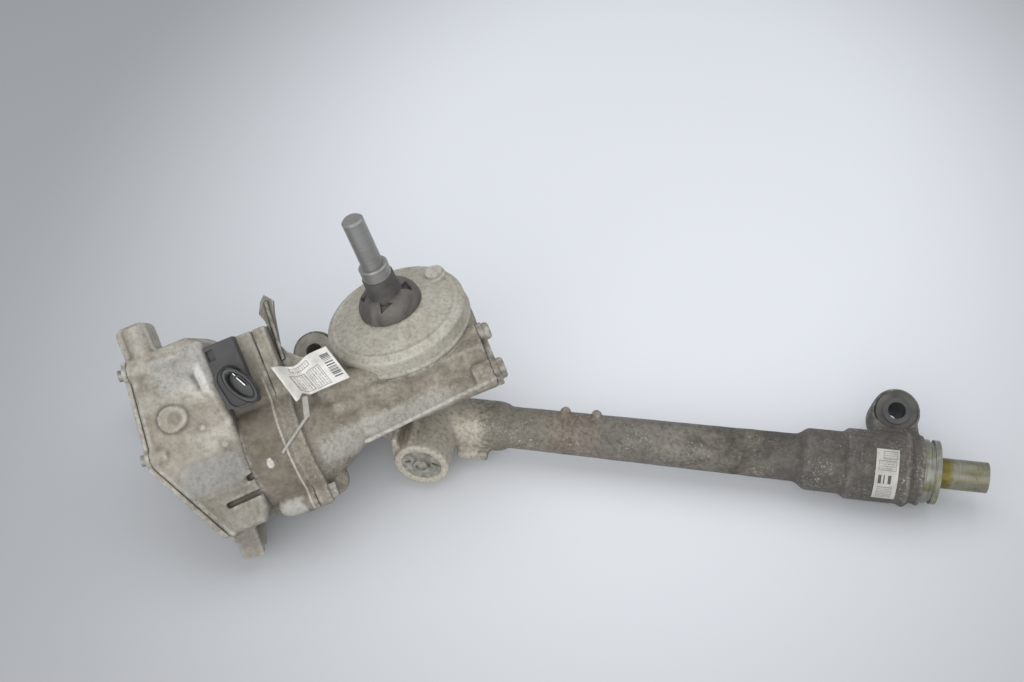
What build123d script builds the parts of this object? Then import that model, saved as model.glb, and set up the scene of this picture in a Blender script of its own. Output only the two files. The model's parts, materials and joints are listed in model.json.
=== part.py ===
"""Pinion-assist electric power steering gear, taken off the car.

A cast rack housing carries the toothed rack bar.  A leaning pinion drives the bar.
The pinion carries a worm wheel, and a motor with its control unit turns the worm.

Frame: millimetres.  The origin is the middle of the right mounting bore, +X runs along
the rack towards its plain end, -Y is the front with the rack guide, and +Z is up.
"""

from build123d import *
from math import acos, ceil, cos, pi, radians, sin, tan

import os

os.makedirs("parts", exist_ok=True)

# ---------------------------------------------------------------- driving dimensions
# Clearances.
RUN = 0.05  # radial running fit
GAP = 0.3  # between bodies that pass without guiding one another

# Places, seen from the crossing of the rack axis and the yoke axis.
RIGHT_BUSH_X = 384.0
LEFT_BUSH_X = -115.0
BUSH_Y = 57.0
BUSH_LEAN = 28.5  # degrees, bore leans forward at its top

# Rack bar.
BAR_R = 12.5
BAR_RIGHT = 457.0
BAR_LEFT = -260.0
TRAVEL_LEFT = 35.0
TRAVEL_RIGHT = 105.0
TIE_THREAD_R = 7.0
TIE_THREAD_DEPTH = 24.0

# Rack and pinion teeth.
MODULE = 1.9
PINION_TEETH = 8
PRESSURE = 25.0  # degrees
PINION_SHIFT = 0.37  # profile shift, in modules
BACKLASH = 0.16
RACK_FLAT = 9.6  # tooth tips stand this far behind the bar's axis
RACK_ADDENDUM = 1.3
RACK_DEDENDUM = 2.45
PINION_ADDENDUM = 2.1
PINION_ROOT_DEPTH = 1.65
MESH_REACH = 12.0  # toothed length beyond the travel, each way

# Pinion shaft, heights are along its axis from the rack's mid plane.
PINION_LEAN = 15.5  # degrees, the top leans to the left
PINION_FACE = 13.0  # half the toothed length
PINION_NECK_R = 6.0
LOWER_JOURNAL_R = 5.5
LOWER_BEARING_R = 10.0
LOWER_BEARING_FROM = -22.0
LOWER_BEARING_TO = -14.5
UPPER_JOURNAL_R = 10.0
UPPER_BEARING_R = 21.0
UPPER_BEARING_FROM = 22.0
UPPER_BEARING_TO = 36.0
PINION_TOP = 78.0
TORSION_BAR_R = 3.5
TORSION_BAR_TOP = 195.0

# Input shaft.
INPUT_FOOT = 79.0
INPUT_INNER_R = 11.0
COLLAR_R = 12.0
COLLAR_FROM = 151.0
COLLAR_TO = 162.0
INPUT_R = 8.8
INPUT_TOP = 208.0
INPUT_CHAMFER = 1.6

# Worm wheel and worm.
MOTOR_TURN = 25.0  # degrees, the motor's axis swings forward of the rack's axis
CENTRE_DISTANCE = 48.0
WORM_HEIGHT = 62.0
WHEEL_R = 39.7
WHEEL_WIDTH = 20.0
WHEEL_HUB_R = 19.0
WORM_R = 8.0
WORM_JOURNAL_R = 6.0
WORM_REACH = 24.0  # half the threaded length
WORM_BEARING_R = 13.0
WORM_BEARING_WIDTH = 10.0
WORM_BEARING_FAR = 34.0
WORM_BEARING_NEAR = 34.0

# Gear case.
CASE_BASE = 43.0
CASE_TOP = 92.0
CASE_R = 58.5
CHAMBER_R = 46.0
CHAMBER_FLOOR = 50.0
TUNNEL_R = 19.5
TUNNEL_END = 56.0
CASE_END_R = 19.5
CASE_EDGE_FRONT = 70.0
CASE_EDGE_FROM = 57.0
CASE_EDGE_TO = 61.5
RIM_LUG = (59.0, -13.0)  # along the lean and backward of the pinion
RIM_LUG_R = 4.5
RIM_LUG_FROM = 80.0
RIM_LUG_TO = 91.5
CONE_FROM = 56.0
CONE_R = 42.0
FLANGE_FACE = 109.0  # joint between the gear case and the motor
FLANGE_THICK = 11.0
FLANGE_R = 46.0
COUPLING_LENGTH = 20.0
COUPLING_SLEEVE = 14.0
COUPLING_WALL = 6.0
COUPLING_SET_BACK = 6.0  # from the joint's face to the coupling's end
EAR_R = 9.5
EAR_REACH = 50.0
EAR_HOLE_R = 4.2

EAR_ANGLES = (-63.0, -127.0, 130.0)
JOINT_TOP = 96.0
COUPLING_BORE_R = 24.0
CAP_EAR_ANGLES = (-10.0, 80.0, 200.0)
CAP_EAR_REACH = 26.0
CAP_EAR_R = 8.5
CAP_SCREW_R = 7.0
CAP_SCREW_RISE = 5.0
WORM_CAP_DEPTH = 11.0
WORM_CAP_THICK = 5.0
CASE_BOLT_REACH = 35.0
BOLT_HEAD_R = 6.5
BOLT_HEAD = 5.5

# Sensor cover.
COVER_R = 58.5
COVER_SIDE_TOP = 109.5
COVER_CROWN_RISE = 9.0
COVER_CROWN = COVER_SIDE_TOP + COVER_CROWN_RISE
COVER_CROWN_R = 27.0
COVER_WALL = 4.0
COVER_HOLE_R = 15.0
BOOT_R = 26.0
BOOT_TOP = COVER_CROWN + 20.5
COVER_PLUG_R = 7.5
PLUG_PLACE_R = 47.0
PLUG_ANGLE = 53.0  # degrees from the lean's direction
PLUG_SEAT_SHARE = 11 / 18  # of the crown's rise
PLUG_SEAT_TOP = COVER_SIDE_TOP + COVER_CROWN_RISE * PLUG_SEAT_SHARE
PLUG_HEAD = 2.5
SENSOR_DEPTH = 10.0
SENSOR_R = 32.0
SEAL_THICK = 6.0
SEAL_SINK = 1.0

# Motor and control unit.
ECU_TILT = 40.0  # degrees, the broad face leans back from the front
MOTOR_CAN_R = 42.0
STATOR_R = 36.0
STATOR_BORE_R = 22.0
ROTOR_R = 21.4
ROTOR_FROM = 149.0
ROTOR_TO = 175.0
ROTOR_SHAFT_R = 7.0
ECU_FROM = 145.0
ECU_MID = 185.0
ECU_LEFT_LOW = -31.0  # the outer wall leans in towards its top
ECU_LEFT_HIGH = -20.0
ECU_FACE = 42.0
ECU_BACK = -46.0
ECU_TOP = 109.0
ECU_BOTTOM = -47.0
ECU_WALL = 5.0
COVER_PLATE = 4.0
CORNER_RISE = 24.0  # where the slanting lower corner starts
CORNER_RUN = 35.0
BROAD_FILLET = 5.0
PAD_PLACE = (10.0, 2.0)
PAD_SIZE = (50.0, 28.0)
PAD_RISE = 1.2
GROOVE_PLACE = (24.0, 77.0)
GROOVE_LENGTH = 22.0
GROOVE_WIDTH = 4.0
GROOVE_TURN = -80.0
GROOVE_DEPTH = 1.8
BOSS_FACE_R = 10.5
BUMPS = ((17.0, 39.0), (28.0, 21.0))
BUMP_R = 4.0
BUMP_RISE = 2.5
WALL_LUGS = (8.0, 76.0)  # up the leaning wall
WALL_LUG_R = 7.0
WALL_LUG_DEPTH = 14.0
FOOT_BACK = -9.5
FOOT_FRONT = 14.0
FOOT_TIP = -66.0
FOOT_RIGHT = 26.0
LUG_X = -7.5
LUG_WIDTH = 25.0
LUG_TOP = 134.0
PILLAR_R = 8.5
PILLAR_FOOT = 92.0
BOARD_SEAT = 196.0
BOARD_THICK = 1.6
SCREW_HEAD_R = 4.5
SCREW_HEAD = 3.5
MOTOR_FLANGE_THICK = 12.0
TROUGH_FACE = 26.0
TROUGH_BACK = -30.0
TROUGH_TOP = 96.0
TROUGH_BOTTOM = -30.0
CONNECTOR_X = 52.0
CONNECTOR_Y = 70.0
CONNECTOR_WIDTH = 24.0
CONNECTOR_LENGTH = 52.0
CONNECTOR_BASE = 16.0
SHELL_DROP = 11.0  # the socket sits below the middle of its base
SHELL_LENGTH = 40.0
SHELL_WIDTH = 26.0
SHELL_HEIGHT = 12.0
SHELL_WALL = 2.5
SHELL_TURN = 100.0
PIN_SPACING = 9.0
PIN_WIDTH = 6.0
PIN_THICK = 1.2
PIN_LENGTH = 6.0

# Harness bracket, a pressed strip that stands on the joint's face.
BRACKET_DEPTH = 2.0
BRACKET_THICK = 2.0
BRACKET_LIP = 5.0
BRACKET_EDGE = 2.0
BRACKET_RIDGE = 3.0
# Places on the bracket: distance from the worm's middle, height up the unit.
BRACKET_HEEL = (94.0, 78.0)
BRACKET_BEND = (88.6, 104.0)
BRACKET_TIP = (85.5, 113.0)
RIDGE_FOOT = (94.5, 66.0)
RIDGE_HEAD = (90.0, 114.0)
BRACKET_OUTLINE = (
    (FLANGE_FACE - FLANGE_THICK, 57.0),
    (FLANGE_FACE - FLANGE_THICK, 100.0),
    (100.5, 107.0),
    (96.0, 115.5),
    (91.0, 120.0),
    BRACKET_TIP,
    BRACKET_BEND,
    BRACKET_HEEL,
    (91.0, 71.0),
    (84.0, 64.0),
    (78.0, 60.0),
    (78.0, 57.0),
)

# Paper tag.
TAG_LENGTH = 50.0
TAG_HEIGHT = 31.0
TAG_THICK = 0.6
TAG_DEPTH = 46.0
TAG_X = 112.0
TAG_Y = 47.0
TAG_TURN = 8.0
STRAP_RISE = 29.0  # height of the strap up the unit
STRAP_WIDTH = 4.0
STRAP_THICK = 0.8
STRAP_OUT = 104.5  # where the strap meets the joint's rim

# Rack housing.
TUBE_R_LEFT = 21.0
TUBE_R_MID = 17.6
TUBE_R_RIGHT = 19.8
TUBE_BORE_R = 14.5
TUBE_FROM = 58.0
TUBE_START = 64.0
TUBE_END = 304.0
NUBS = (112.0, 138.0)
NUB_Y = 7.0
NUB_R = 5.0
NUB_TOP = 21.5
RIB_X = -25.0
RIB_THICK = 5.0
LUG_FROM = 24.0
LUG_TO = 50.0
END_STEP_FROM = 310.0
END_STEP_R = 25.5
END_FROM = 341.0
END_TO = 404.0
END_R = 29.0
LEFT_END = -150.0
LEFT_END_R = 24.0
LEFT_END_LENGTH = 44.0
RING_R = 26.0
RING_WIDTH = 13.0
RACK_BUSH_LENGTH = 26.0
END_CUP_R = 18.0
RACK_BUSH_R = 16.5
TOWER_R = 27.0
TOWER_FLANGE_R = 43.0
TOWER_FLANGE_THICK = 9.0
TOWER_FOOT = -24.5
TOWER_FOOT_R = 15.0
TOWER_TAPER = 10.0
YOKE_R = 15.5
YOKE_BOSS_R = 23.0
YOKE_BOSS_FRONT = 53.0
YOKE_POCKET_R = 9.0
YOKE_POCKET = 18.0
SPRING_R = 8.0
SPRING_WIRE = 3.0
SPRING_COILS = 4
YOKE_LIP = 4.0
PLUG_R = 16.0
PLUG_THICK = 13.0
YOKE_PLAY = 0.15

# Mounting bushes.
BUSH_LENGTH = 44.0
BORE_R = 7.25
SLEEVE_R = 11.5
RUBBER_R = 17.0
BOSS_R = 20.0
BOSS_LENGTH = 38.0

# ---------------------------------------------------------------- directions and planes
lean = radians(PINION_LEAN)
turn = radians(MOTOR_TURN)
tilt = radians(ECU_TILT)
bush_lean = radians(BUSH_LEAN)
plug_angle = radians(PLUG_ANGLE)
coupling_to = FLANGE_FACE - COUPLING_SET_BACK
coupling_from = coupling_to - COUPLING_LENGTH
worm_end = coupling_from + COUPLING_SLEEVE

pitch_r = MODULE * PINION_TEETH / 2
PINION_BEHIND = RACK_FLAT - RACK_ADDENDUM + pitch_r

CROSSING = Vector(-RIGHT_BUSH_X, -BUSH_Y, 0)
BACKWARD = Vector(0, 1, 0)
ALONG = Vector(cos(lean), 0, sin(lean))
PINION = Vector(-sin(lean), 0, cos(lean))
MOTOR = ALONG * cos(turn) + BACKWARD * sin(turn)
FRONT = MOTOR.cross(PINION)
FACE = FRONT * cos(tilt) + PINION * sin(tilt)
RISE = PINION * cos(tilt) - FRONT * sin(tilt)
BORE = Vector(0, -sin(bush_lean), cos(bush_lean))
FOOT = CROSSING + BACKWARD * PINION_BEHIND
WORM = FOOT + PINION * WORM_HEIGHT + FRONT * CENTRE_DISTANCE


def rack_at(x):
    """Plane square to the rack's axis, x to the right of the crossing, facing right."""
    return Plane(origin=CROSSING + Vector(x, 0, 0), x_dir=(0, 1, 0), z_dir=(1, 0, 0))


def yoke_at(depth):
    """Plane square to the yoke's axis, a depth in front of the rack's axis, facing front."""
    return Plane(origin=CROSSING - BACKWARD * depth, x_dir=(1, 0, 0), z_dir=(0, -1, 0))


def pinion_at(height):
    """Plane square to the pinion at a height, local Y pointing backward."""
    return Plane(origin=FOOT + PINION * height, x_dir=ALONG, z_dir=PINION)


def case_at(height):
    """Plane square to the pinion at a height, local X along the worm, local -Y to the worm."""
    return Plane(origin=FOOT + PINION * height, x_dir=MOTOR, z_dir=PINION)


def motor_at(reach):
    """Plane square to the worm, a reach towards the motor, local X to the front, Y up the pinion."""
    return Plane(origin=WORM - MOTOR * reach, x_dir=FRONT, z_dir=-MOTOR)


def unit_at(reach):
    """The same, turned so that local X faces as the control unit does and Y rises along it."""
    return Plane(origin=WORM - MOTOR * reach, x_dir=FACE, z_dir=-MOTOR)


def face_at(depth):
    """Plane of the control unit's broad face, local X towards the gear case, Y up the unit."""
    return Plane(origin=WORM - MOTOR * ECU_MID + FACE * depth, x_dir=MOTOR, z_dir=FACE)


def bush_at(x, height):
    """Plane square to a mounting bore, at a height above its middle."""
    return Plane(origin=CROSSING + Vector(x, BUSH_Y, 0) + BORE * height, x_dir=(1, 0, 0), z_dir=BORE)


def slug(plane, radius, length, mode=Mode.ADD):
    """Add or cut a round slug that stands on a plane."""
    with BuildSketch(plane) as outline:
        Circle(radius)
    extrude(outline.sketch, amount=length, mode=mode)


def tube(plane, radius, bore, length):
    """Add a tube that stands on a plane."""
    with BuildSketch(plane) as outline:
        Circle(radius)
        Circle(bore, mode=Mode.SUBTRACT)
    extrude(outline.sketch, amount=length)


def turned(plane, outline, mode=Mode.ADD):
    """Revolve (radius, height) points about the plane's normal through its origin."""
    half = Plane(origin=plane.origin, x_dir=plane.x_dir, z_dir=-plane.y_dir)
    with BuildSketch(half) as profile:
        with BuildLine():
            Polyline(*outline, close=True)
        make_face()
    revolve(profile.sketch, axis=Axis(plane.origin, plane.z_dir), mode=mode)


def write(part, name):
    """Label a finished piece and write it."""
    part.label = name
    export_step(part, f"parts/{name}.step")


# ---------------------------------------------------------------- rack and pinion teeth
tooth_pitch = pi * MODULE
flank = radians(PRESSURE)
base_r = pitch_r * cos(flank)
pinion_tip_r = pitch_r + PINION_ADDENDUM
pinion_root_r = pitch_r - PINION_ROOT_DEPTH
pinion_tooth = tooth_pitch / 2 + 2 * PINION_SHIFT * MODULE * tan(flank) - BACKLASH / 2
rack_tooth = tooth_pitch - pinion_tooth - BACKLASH
rack_gap = tooth_pitch - rack_tooth
rack_pitch = tooth_pitch / cos(lean)  # along the bar
gaps_left = ceil((TRAVEL_RIGHT + MESH_REACH) / rack_pitch)
gaps_right = ceil((TRAVEL_LEFT + MESH_REACH) / rack_pitch)
teeth_left = -(gaps_left + 0.6) * rack_pitch
teeth_right = (gaps_right + 0.6) * rack_pitch


def involute(angle):
    """The involute function."""
    return tan(angle) - angle


def flank_point(radius, side):
    """Point on a pinion flank at a radius, for a tooth that points along +X."""
    spread = pinion_tooth / (2 * pitch_r) + involute(flank) - involute(acos(base_r / radius))
    return (radius * cos(spread), side * radius * sin(spread))


def root_point(side):
    """Foot of a pinion flank, well inside the root circle."""
    spread = pinion_tooth / (2 * pitch_r) + involute(flank)
    radius = pinion_root_r - 1
    return (radius * cos(spread), side * radius * sin(spread))


with BuildSketch() as pinion_tooth_face:
    radii = [base_r + (pinion_tip_r - base_r) * step / 4 for step in range(5)]
    with BuildLine():
        lower = Spline(*[flank_point(r, -1) for r in radii])
        upper = Spline(*[flank_point(r, 1) for r in radii])
        Line(lower @ 1, upper @ 1)
        Line(lower @ 0, root_point(-1))
        Line(upper @ 0, root_point(1))
        Line(root_point(-1), root_point(1))
    make_face()

with BuildPart() as pinion_shaft:
    with BuildSketch(pinion_at(-PINION_FACE)) as teeth:
        Circle(pinion_root_r)
        with PolarLocations(0, PINION_TEETH, start_angle=-90):
            add(pinion_tooth_face.sketch)
    extrude(teeth.sketch, amount=2 * PINION_FACE)
    slug(pinion_at(LOWER_BEARING_FROM), LOWER_JOURNAL_R, -LOWER_BEARING_FROM)
    slug(pinion_at(0), PINION_NECK_R, UPPER_BEARING_FROM)
    slug(pinion_at(UPPER_BEARING_FROM - 4), UPPER_JOURNAL_R + 2, 4)
    slug(pinion_at(UPPER_BEARING_FROM), UPPER_JOURNAL_R, PINION_TOP - UPPER_BEARING_FROM)
    slug(pinion_at(UPPER_BEARING_TO + 16), TORSION_BAR_R, PINION_TOP, mode=Mode.SUBTRACT)
write(pinion_shaft.part, "pinion_shaft")

with BuildPart() as rack_bar:
    slug(rack_at(BAR_LEFT), BAR_R, BAR_RIGHT - BAR_LEFT)
    with BuildSketch(rack_at(teeth_left)) as flat:
        with Locations((BAR_R, 0)):
            Rectangle(2 * (BAR_R - RACK_FLAT), 3 * BAR_R)
    extrude(flat.sketch, amount=teeth_right - teeth_left, mode=Mode.SUBTRACT)
    tip_line = -pitch_r + RACK_ADDENDUM
    root_line = -pitch_r - RACK_DEDENDUM
    mouth = rack_gap / 2 + (RACK_ADDENDUM + 1) * tan(flank)
    floor = rack_gap / 2 - RACK_DEDENDUM * tan(flank)
    cut_length = 2 * BAR_R - teeth_left * sin(lean)  # the furthest gap lies well below the pinion
    with BuildSketch(pinion_at(-cut_length)) as gaps:
        for number in range(-gaps_left, gaps_right + 1):
            middle = number * tooth_pitch
            with BuildLine():
                Polyline(
                    (middle - mouth, tip_line + 1),
                    (middle - floor, root_line),
                    (middle + floor, root_line),
                    (middle + mouth, tip_line + 1),
                    close=True,
                )
            make_face()
    extrude(gaps.sketch, amount=2 * cut_length, mode=Mode.SUBTRACT)
    slug(rack_at(BAR_RIGHT), TIE_THREAD_R, -TIE_THREAD_DEPTH, mode=Mode.SUBTRACT)
    slug(rack_at(BAR_LEFT), TIE_THREAD_R, TIE_THREAD_DEPTH, mode=Mode.SUBTRACT)
write(rack_bar.part, "rack_bar")

# ---------------------------------------------------------------- pinion body and input shaft
with BuildPart() as worm_wheel:
    hub_from = WORM_HEIGHT - WHEEL_WIDTH / 2
    tube(pinion_at(hub_from), WHEEL_R, UPPER_JOURNAL_R, WHEEL_WIDTH)
    web_depth = 4.0
    for face, way in ((hub_from, 1), (hub_from + WHEEL_WIDTH, -1)):
        with BuildSketch(pinion_at(face)) as recess:
            Circle(WHEEL_R - 10)
            Circle(WHEEL_HUB_R, mode=Mode.SUBTRACT)
        extrude(recess.sketch, amount=way * web_depth, mode=Mode.SUBTRACT)
write(worm_wheel.part, "worm_wheel")

with BuildPart() as torsion_bar:
    slug(pinion_at(UPPER_BEARING_TO + 16), TORSION_BAR_R, TORSION_BAR_TOP - UPPER_BEARING_TO - 16)
write(torsion_bar.part, "torsion_bar")

with BuildPart() as input_shaft:
    turned(
        pinion_at(0),
        (
            (0, INPUT_FOOT),
            (INPUT_INNER_R, INPUT_FOOT),
            (INPUT_INNER_R, COLLAR_FROM),
            (COLLAR_R, COLLAR_FROM),
            (COLLAR_R, COLLAR_TO - 1),
            (COLLAR_R - 1, COLLAR_TO),
            (INPUT_R, COLLAR_TO),
            (INPUT_R, INPUT_TOP - INPUT_CHAMFER),
            (INPUT_R - INPUT_CHAMFER, INPUT_TOP),
            (0, INPUT_TOP),
        ),
    )
    slug(pinion_at(INPUT_FOOT), TORSION_BAR_R + GAP, TORSION_BAR_TOP - INPUT_FOOT + GAP, mode=Mode.SUBTRACT)
write(input_shaft.part, "input_shaft")

# ---------------------------------------------------------------- worm body
with BuildPart() as worm_shaft:
    slug(motor_at(-WORM_REACH), WORM_R, 2 * WORM_REACH)
    journal = WORM_BEARING_FAR + WORM_BEARING_WIDTH
    slug(motor_at(-journal), WORM_JOURNAL_R, journal)
    slug(motor_at(0), WORM_JOURNAL_R, worm_end)
write(worm_shaft.part, "worm_shaft")

with BuildPart() as motor_coupling:
    tube(motor_at(coupling_from), WORM_JOURNAL_R + COUPLING_WALL, WORM_JOURNAL_R, COUPLING_SLEEVE)
    slug(motor_at(worm_end), WORM_JOURNAL_R + COUPLING_WALL, coupling_to - worm_end)
write(motor_coupling.part, "motor_coupling")

with BuildPart() as motor_rotor:
    slug(motor_at(coupling_to), ROTOR_SHAFT_R, ROTOR_FROM - coupling_to)
    slug(motor_at(ROTOR_FROM), ROTOR_R, ROTOR_TO - ROTOR_FROM)
    slug(motor_at(ROTOR_TO), ROTOR_SHAFT_R, 12)
write(motor_rotor.part, "motor_rotor")

# ---------------------------------------------------------------- yoke and its plug
plug_from = YOKE_BOSS_FRONT - PLUG_THICK
yoke_back = plug_from - YOKE_PLAY - RUN

with BuildPart() as yoke:
    slug(yoke_at(YOKE_LIP), YOKE_R - RUN, yoke_back - YOKE_LIP)
    slug(rack_at(-2 * YOKE_R), BAR_R + RUN, 4 * YOKE_R, mode=Mode.SUBTRACT)
    slug(yoke_at(yoke_back), YOKE_POCKET_R, -YOKE_POCKET, mode=Mode.SUBTRACT)
write(yoke.part, "yoke")

with BuildPart() as yoke_spring:
    spring_foot = yoke_back - YOKE_POCKET + GAP
    spring_pitch = (plug_from - spring_foot - SPRING_WIRE) / SPRING_COILS
    with BuildLine() as wire:
        Helix(
            pitch=spring_pitch,
            height=spring_pitch * SPRING_COILS,
            radius=SPRING_R - SPRING_WIRE / 2,
            center=yoke_at(spring_foot + SPRING_WIRE / 2).origin,
            direction=(0, -1, 0),
        )
    with BuildSketch(Plane(origin=wire.line @ 0, z_dir=wire.line % 0)) as section:
        Circle(SPRING_WIRE / 2)
    sweep(section.sketch, path=wire.line)
write(yoke_spring.part, "yoke_spring")

with BuildPart() as yoke_plug:
    slug(yoke_at(plug_from), PLUG_R, PLUG_THICK - 1.5)
    with BuildSketch(yoke_at(YOKE_BOSS_FRONT - 1.5)) as recess:
        RegularPolygon(7.5, 6)
        Circle(4.5, mode=Mode.SUBTRACT)
    extrude(recess.sketch, amount=3)
    for side in (-1, 1):
        with BuildSketch(yoke_at(YOKE_BOSS_FRONT - 1.5)) as slot:
            with Locations((side * 11.5, 2)):
                SlotOverall(6, 2.6, rotation=-side * 25)
        extrude(slot.sketch, amount=-3, mode=Mode.SUBTRACT)
write(yoke_plug.part, "yoke_plug")

# ---------------------------------------------------------------- bearings, seals and bushes
with BuildPart() as pinion_lower_bearing:
    length = LOWER_BEARING_TO - LOWER_BEARING_FROM
    tube(pinion_at(LOWER_BEARING_FROM), LOWER_BEARING_R, LOWER_JOURNAL_R + RUN, length)
write(pinion_lower_bearing.part, "pinion_lower_bearing")

with BuildPart() as pinion_upper_bearing:
    length = UPPER_BEARING_TO - UPPER_BEARING_FROM
    tube(pinion_at(UPPER_BEARING_FROM + GAP), UPPER_BEARING_R, UPPER_JOURNAL_R + RUN, length - GAP)
write(pinion_upper_bearing.part, "pinion_upper_bearing")

with BuildPart() as worm_bearing_far:
    plane = motor_at(-WORM_BEARING_FAR - WORM_BEARING_WIDTH)
    tube(plane, WORM_BEARING_R, WORM_JOURNAL_R + RUN, WORM_BEARING_WIDTH)
write(worm_bearing_far.part, "worm_bearing_far")

with BuildPart() as worm_bearing_near:
    tube(motor_at(WORM_BEARING_NEAR), WORM_BEARING_R, WORM_JOURNAL_R + RUN, WORM_BEARING_WIDTH)
write(worm_bearing_near.part, "worm_bearing_near")

with BuildPart() as rack_bush:
    tube(rack_at(END_STEP_FROM), RACK_BUSH_R, BAR_R + RUN, RACK_BUSH_LENGTH)
write(rack_bush.part, "rack_bush")

for side, name in ((1, "right"), (-1, "left")):
    start = END_TO if side > 0 else LEFT_END
    ring_r = RING_R if side > 0 else LEFT_END_R - 1
    with BuildPart() as end_ring:
        tube(rack_at(start), ring_r, BAR_R + 2 * GAP, side * RING_WIDTH * 0.35)
        tube(rack_at(start + side * RING_WIDTH * 0.35), ring_r - 2, BAR_R + 2 * GAP, side * RING_WIDTH * 0.3)
        tube(rack_at(start + side * RING_WIDTH * 0.65), ring_r, BAR_R + 2 * GAP, side * RING_WIDTH * 0.35)
    write(end_ring.part, f"end_ring_{name}")

for x, name in ((RIGHT_BUSH_X, "right"), (LEFT_BUSH_X, "left")):
    with BuildPart() as bush_sleeve:
        tube(bush_at(x, -BUSH_LENGTH / 2), SLEEVE_R, BORE_R, BUSH_LENGTH)
    write(bush_sleeve.part, f"bush_sleeve_{name}")
    with BuildPart() as bush_rubber:
        tube(bush_at(x, -BUSH_LENGTH / 2 + 1), RUBBER_R, SLEEVE_R, BUSH_LENGTH - 2)
    write(bush_rubber.part, f"bush_rubber_{name}")

# ---------------------------------------------------------------- rack housing
def bushed_eye(x):
    """Add an eye for a rubber bush, and the web that ties it to the housing."""
    slug(bush_at(x, -BOSS_LENGTH / 2), BOSS_R, BOSS_LENGTH)
    with BuildSketch(rack_at(x - BOSS_R + 2)) as web:
        with BuildLine():
            Polyline((0, -17), (BUSH_Y, -18), (BUSH_Y - 10, 14), (0, 20), close=True)
        make_face()
    extrude(web.sketch, amount=2 * BOSS_R - 4)


with BuildPart() as rack_housing:
    turned(
        rack_at(0),
        (
            (0, LEFT_END),
            (LEFT_END_R, LEFT_END),
            (LEFT_END_R, LEFT_END + 8),
            (LEFT_END_R - 2, LEFT_END + 8),
            (LEFT_END_R - 2, LEFT_END + 13),
            (LEFT_END_R, LEFT_END + 13),
            (LEFT_END_R, LEFT_END + LEFT_END_LENGTH),
            (TUBE_R_LEFT, LEFT_END + LEFT_END_LENGTH + 6),
            (TUBE_R_LEFT, TUBE_FROM),
            (TUBE_R_LEFT - 1.5, TUBE_START),
            (0, TUBE_START),
        ),
    )
    turned(
        pinion_at(0),
        (
            (0, TOWER_FOOT),
            (TOWER_FOOT_R, TOWER_FOOT),
            (TOWER_R, TOWER_FOOT + TOWER_TAPER),
            (TOWER_R, CASE_BASE),
            (0, CASE_BASE),
        ),
    )
    slug(pinion_at(CASE_BASE - TOWER_FLANGE_THICK), TOWER_FLANGE_R, TOWER_FLANGE_THICK)
    slug(yoke_at(0), YOKE_BOSS_R, YOKE_BOSS_FRONT)
    bushed_eye(LEFT_BUSH_X)
    # Stiffening rib down to the yoke boss, and the lug under the tube's root.
    with BuildSketch(rack_at(RIB_X)) as rib:
        with BuildLine():
            rib_front = -YOKE_BOSS_FRONT + 5
            Polyline((rib_front, 0), (rib_front, YOKE_BOSS_R), (0, CASE_BASE - 8), (0, 0), close=True)
        make_face()
    extrude(rib.sketch, amount=RIB_THICK)
    with BuildSketch(rack_at(LUG_FROM)) as root_lug:
        with Locations((-TUBE_R_LEFT + 4, -15)):
            RectangleRounded(16, 9, 3)
    extrude(root_lug.sketch, amount=LUG_TO - LUG_FROM)
    # Cavities.
    slug(rack_at(LEFT_END), TUBE_BORE_R, TUBE_START - LEFT_END, mode=Mode.SUBTRACT)
    slug(yoke_at(0), YOKE_R, YOKE_BOSS_FRONT, mode=Mode.SUBTRACT)
    slug(yoke_at(plug_from), PLUG_R, PLUG_THICK, mode=Mode.SUBTRACT)
    slug(pinion_at(LOWER_BEARING_FROM), LOWER_BEARING_R, 2 * BAR_R, mode=Mode.SUBTRACT)
    between = UPPER_BEARING_FROM - LOWER_BEARING_TO
    slug(pinion_at(LOWER_BEARING_TO), pinion_tip_r + 1, between, mode=Mode.SUBTRACT)
    slug(pinion_at(UPPER_BEARING_FROM - 5), UPPER_JOURNAL_R + 3, 5 + GAP, mode=Mode.SUBTRACT)
    slug(pinion_at(UPPER_BEARING_FROM + GAP), UPPER_BEARING_R, CASE_BASE, mode=Mode.SUBTRACT)
    slug(bush_at(LEFT_BUSH_X, -BUSH_LENGTH), RUBBER_R, 2 * BUSH_LENGTH, mode=Mode.SUBTRACT)
write(rack_housing.part, "rack_housing")

with BuildPart() as rack_tube:
    turned(
        rack_at(0),
        (
            (TUBE_BORE_R, TUBE_START),
            (TUBE_R_MID, TUBE_START),
            (TUBE_R_RIGHT, TUBE_END),
            (TUBE_BORE_R, TUBE_END),
        ),
    )
    # Two cast nubs for the pipe clip.
    with BuildSketch(Plane(origin=CROSSING + Vector(0, 0, TUBE_BORE_R + 1))) as nubs:
        with Locations(*[(x, NUB_Y) for x in NUBS]):
            Circle(NUB_R)
    extrude(nubs.sketch, amount=NUB_TOP - TUBE_BORE_R - 1, taper=8)
write(rack_tube.part, "rack_tube")

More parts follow.
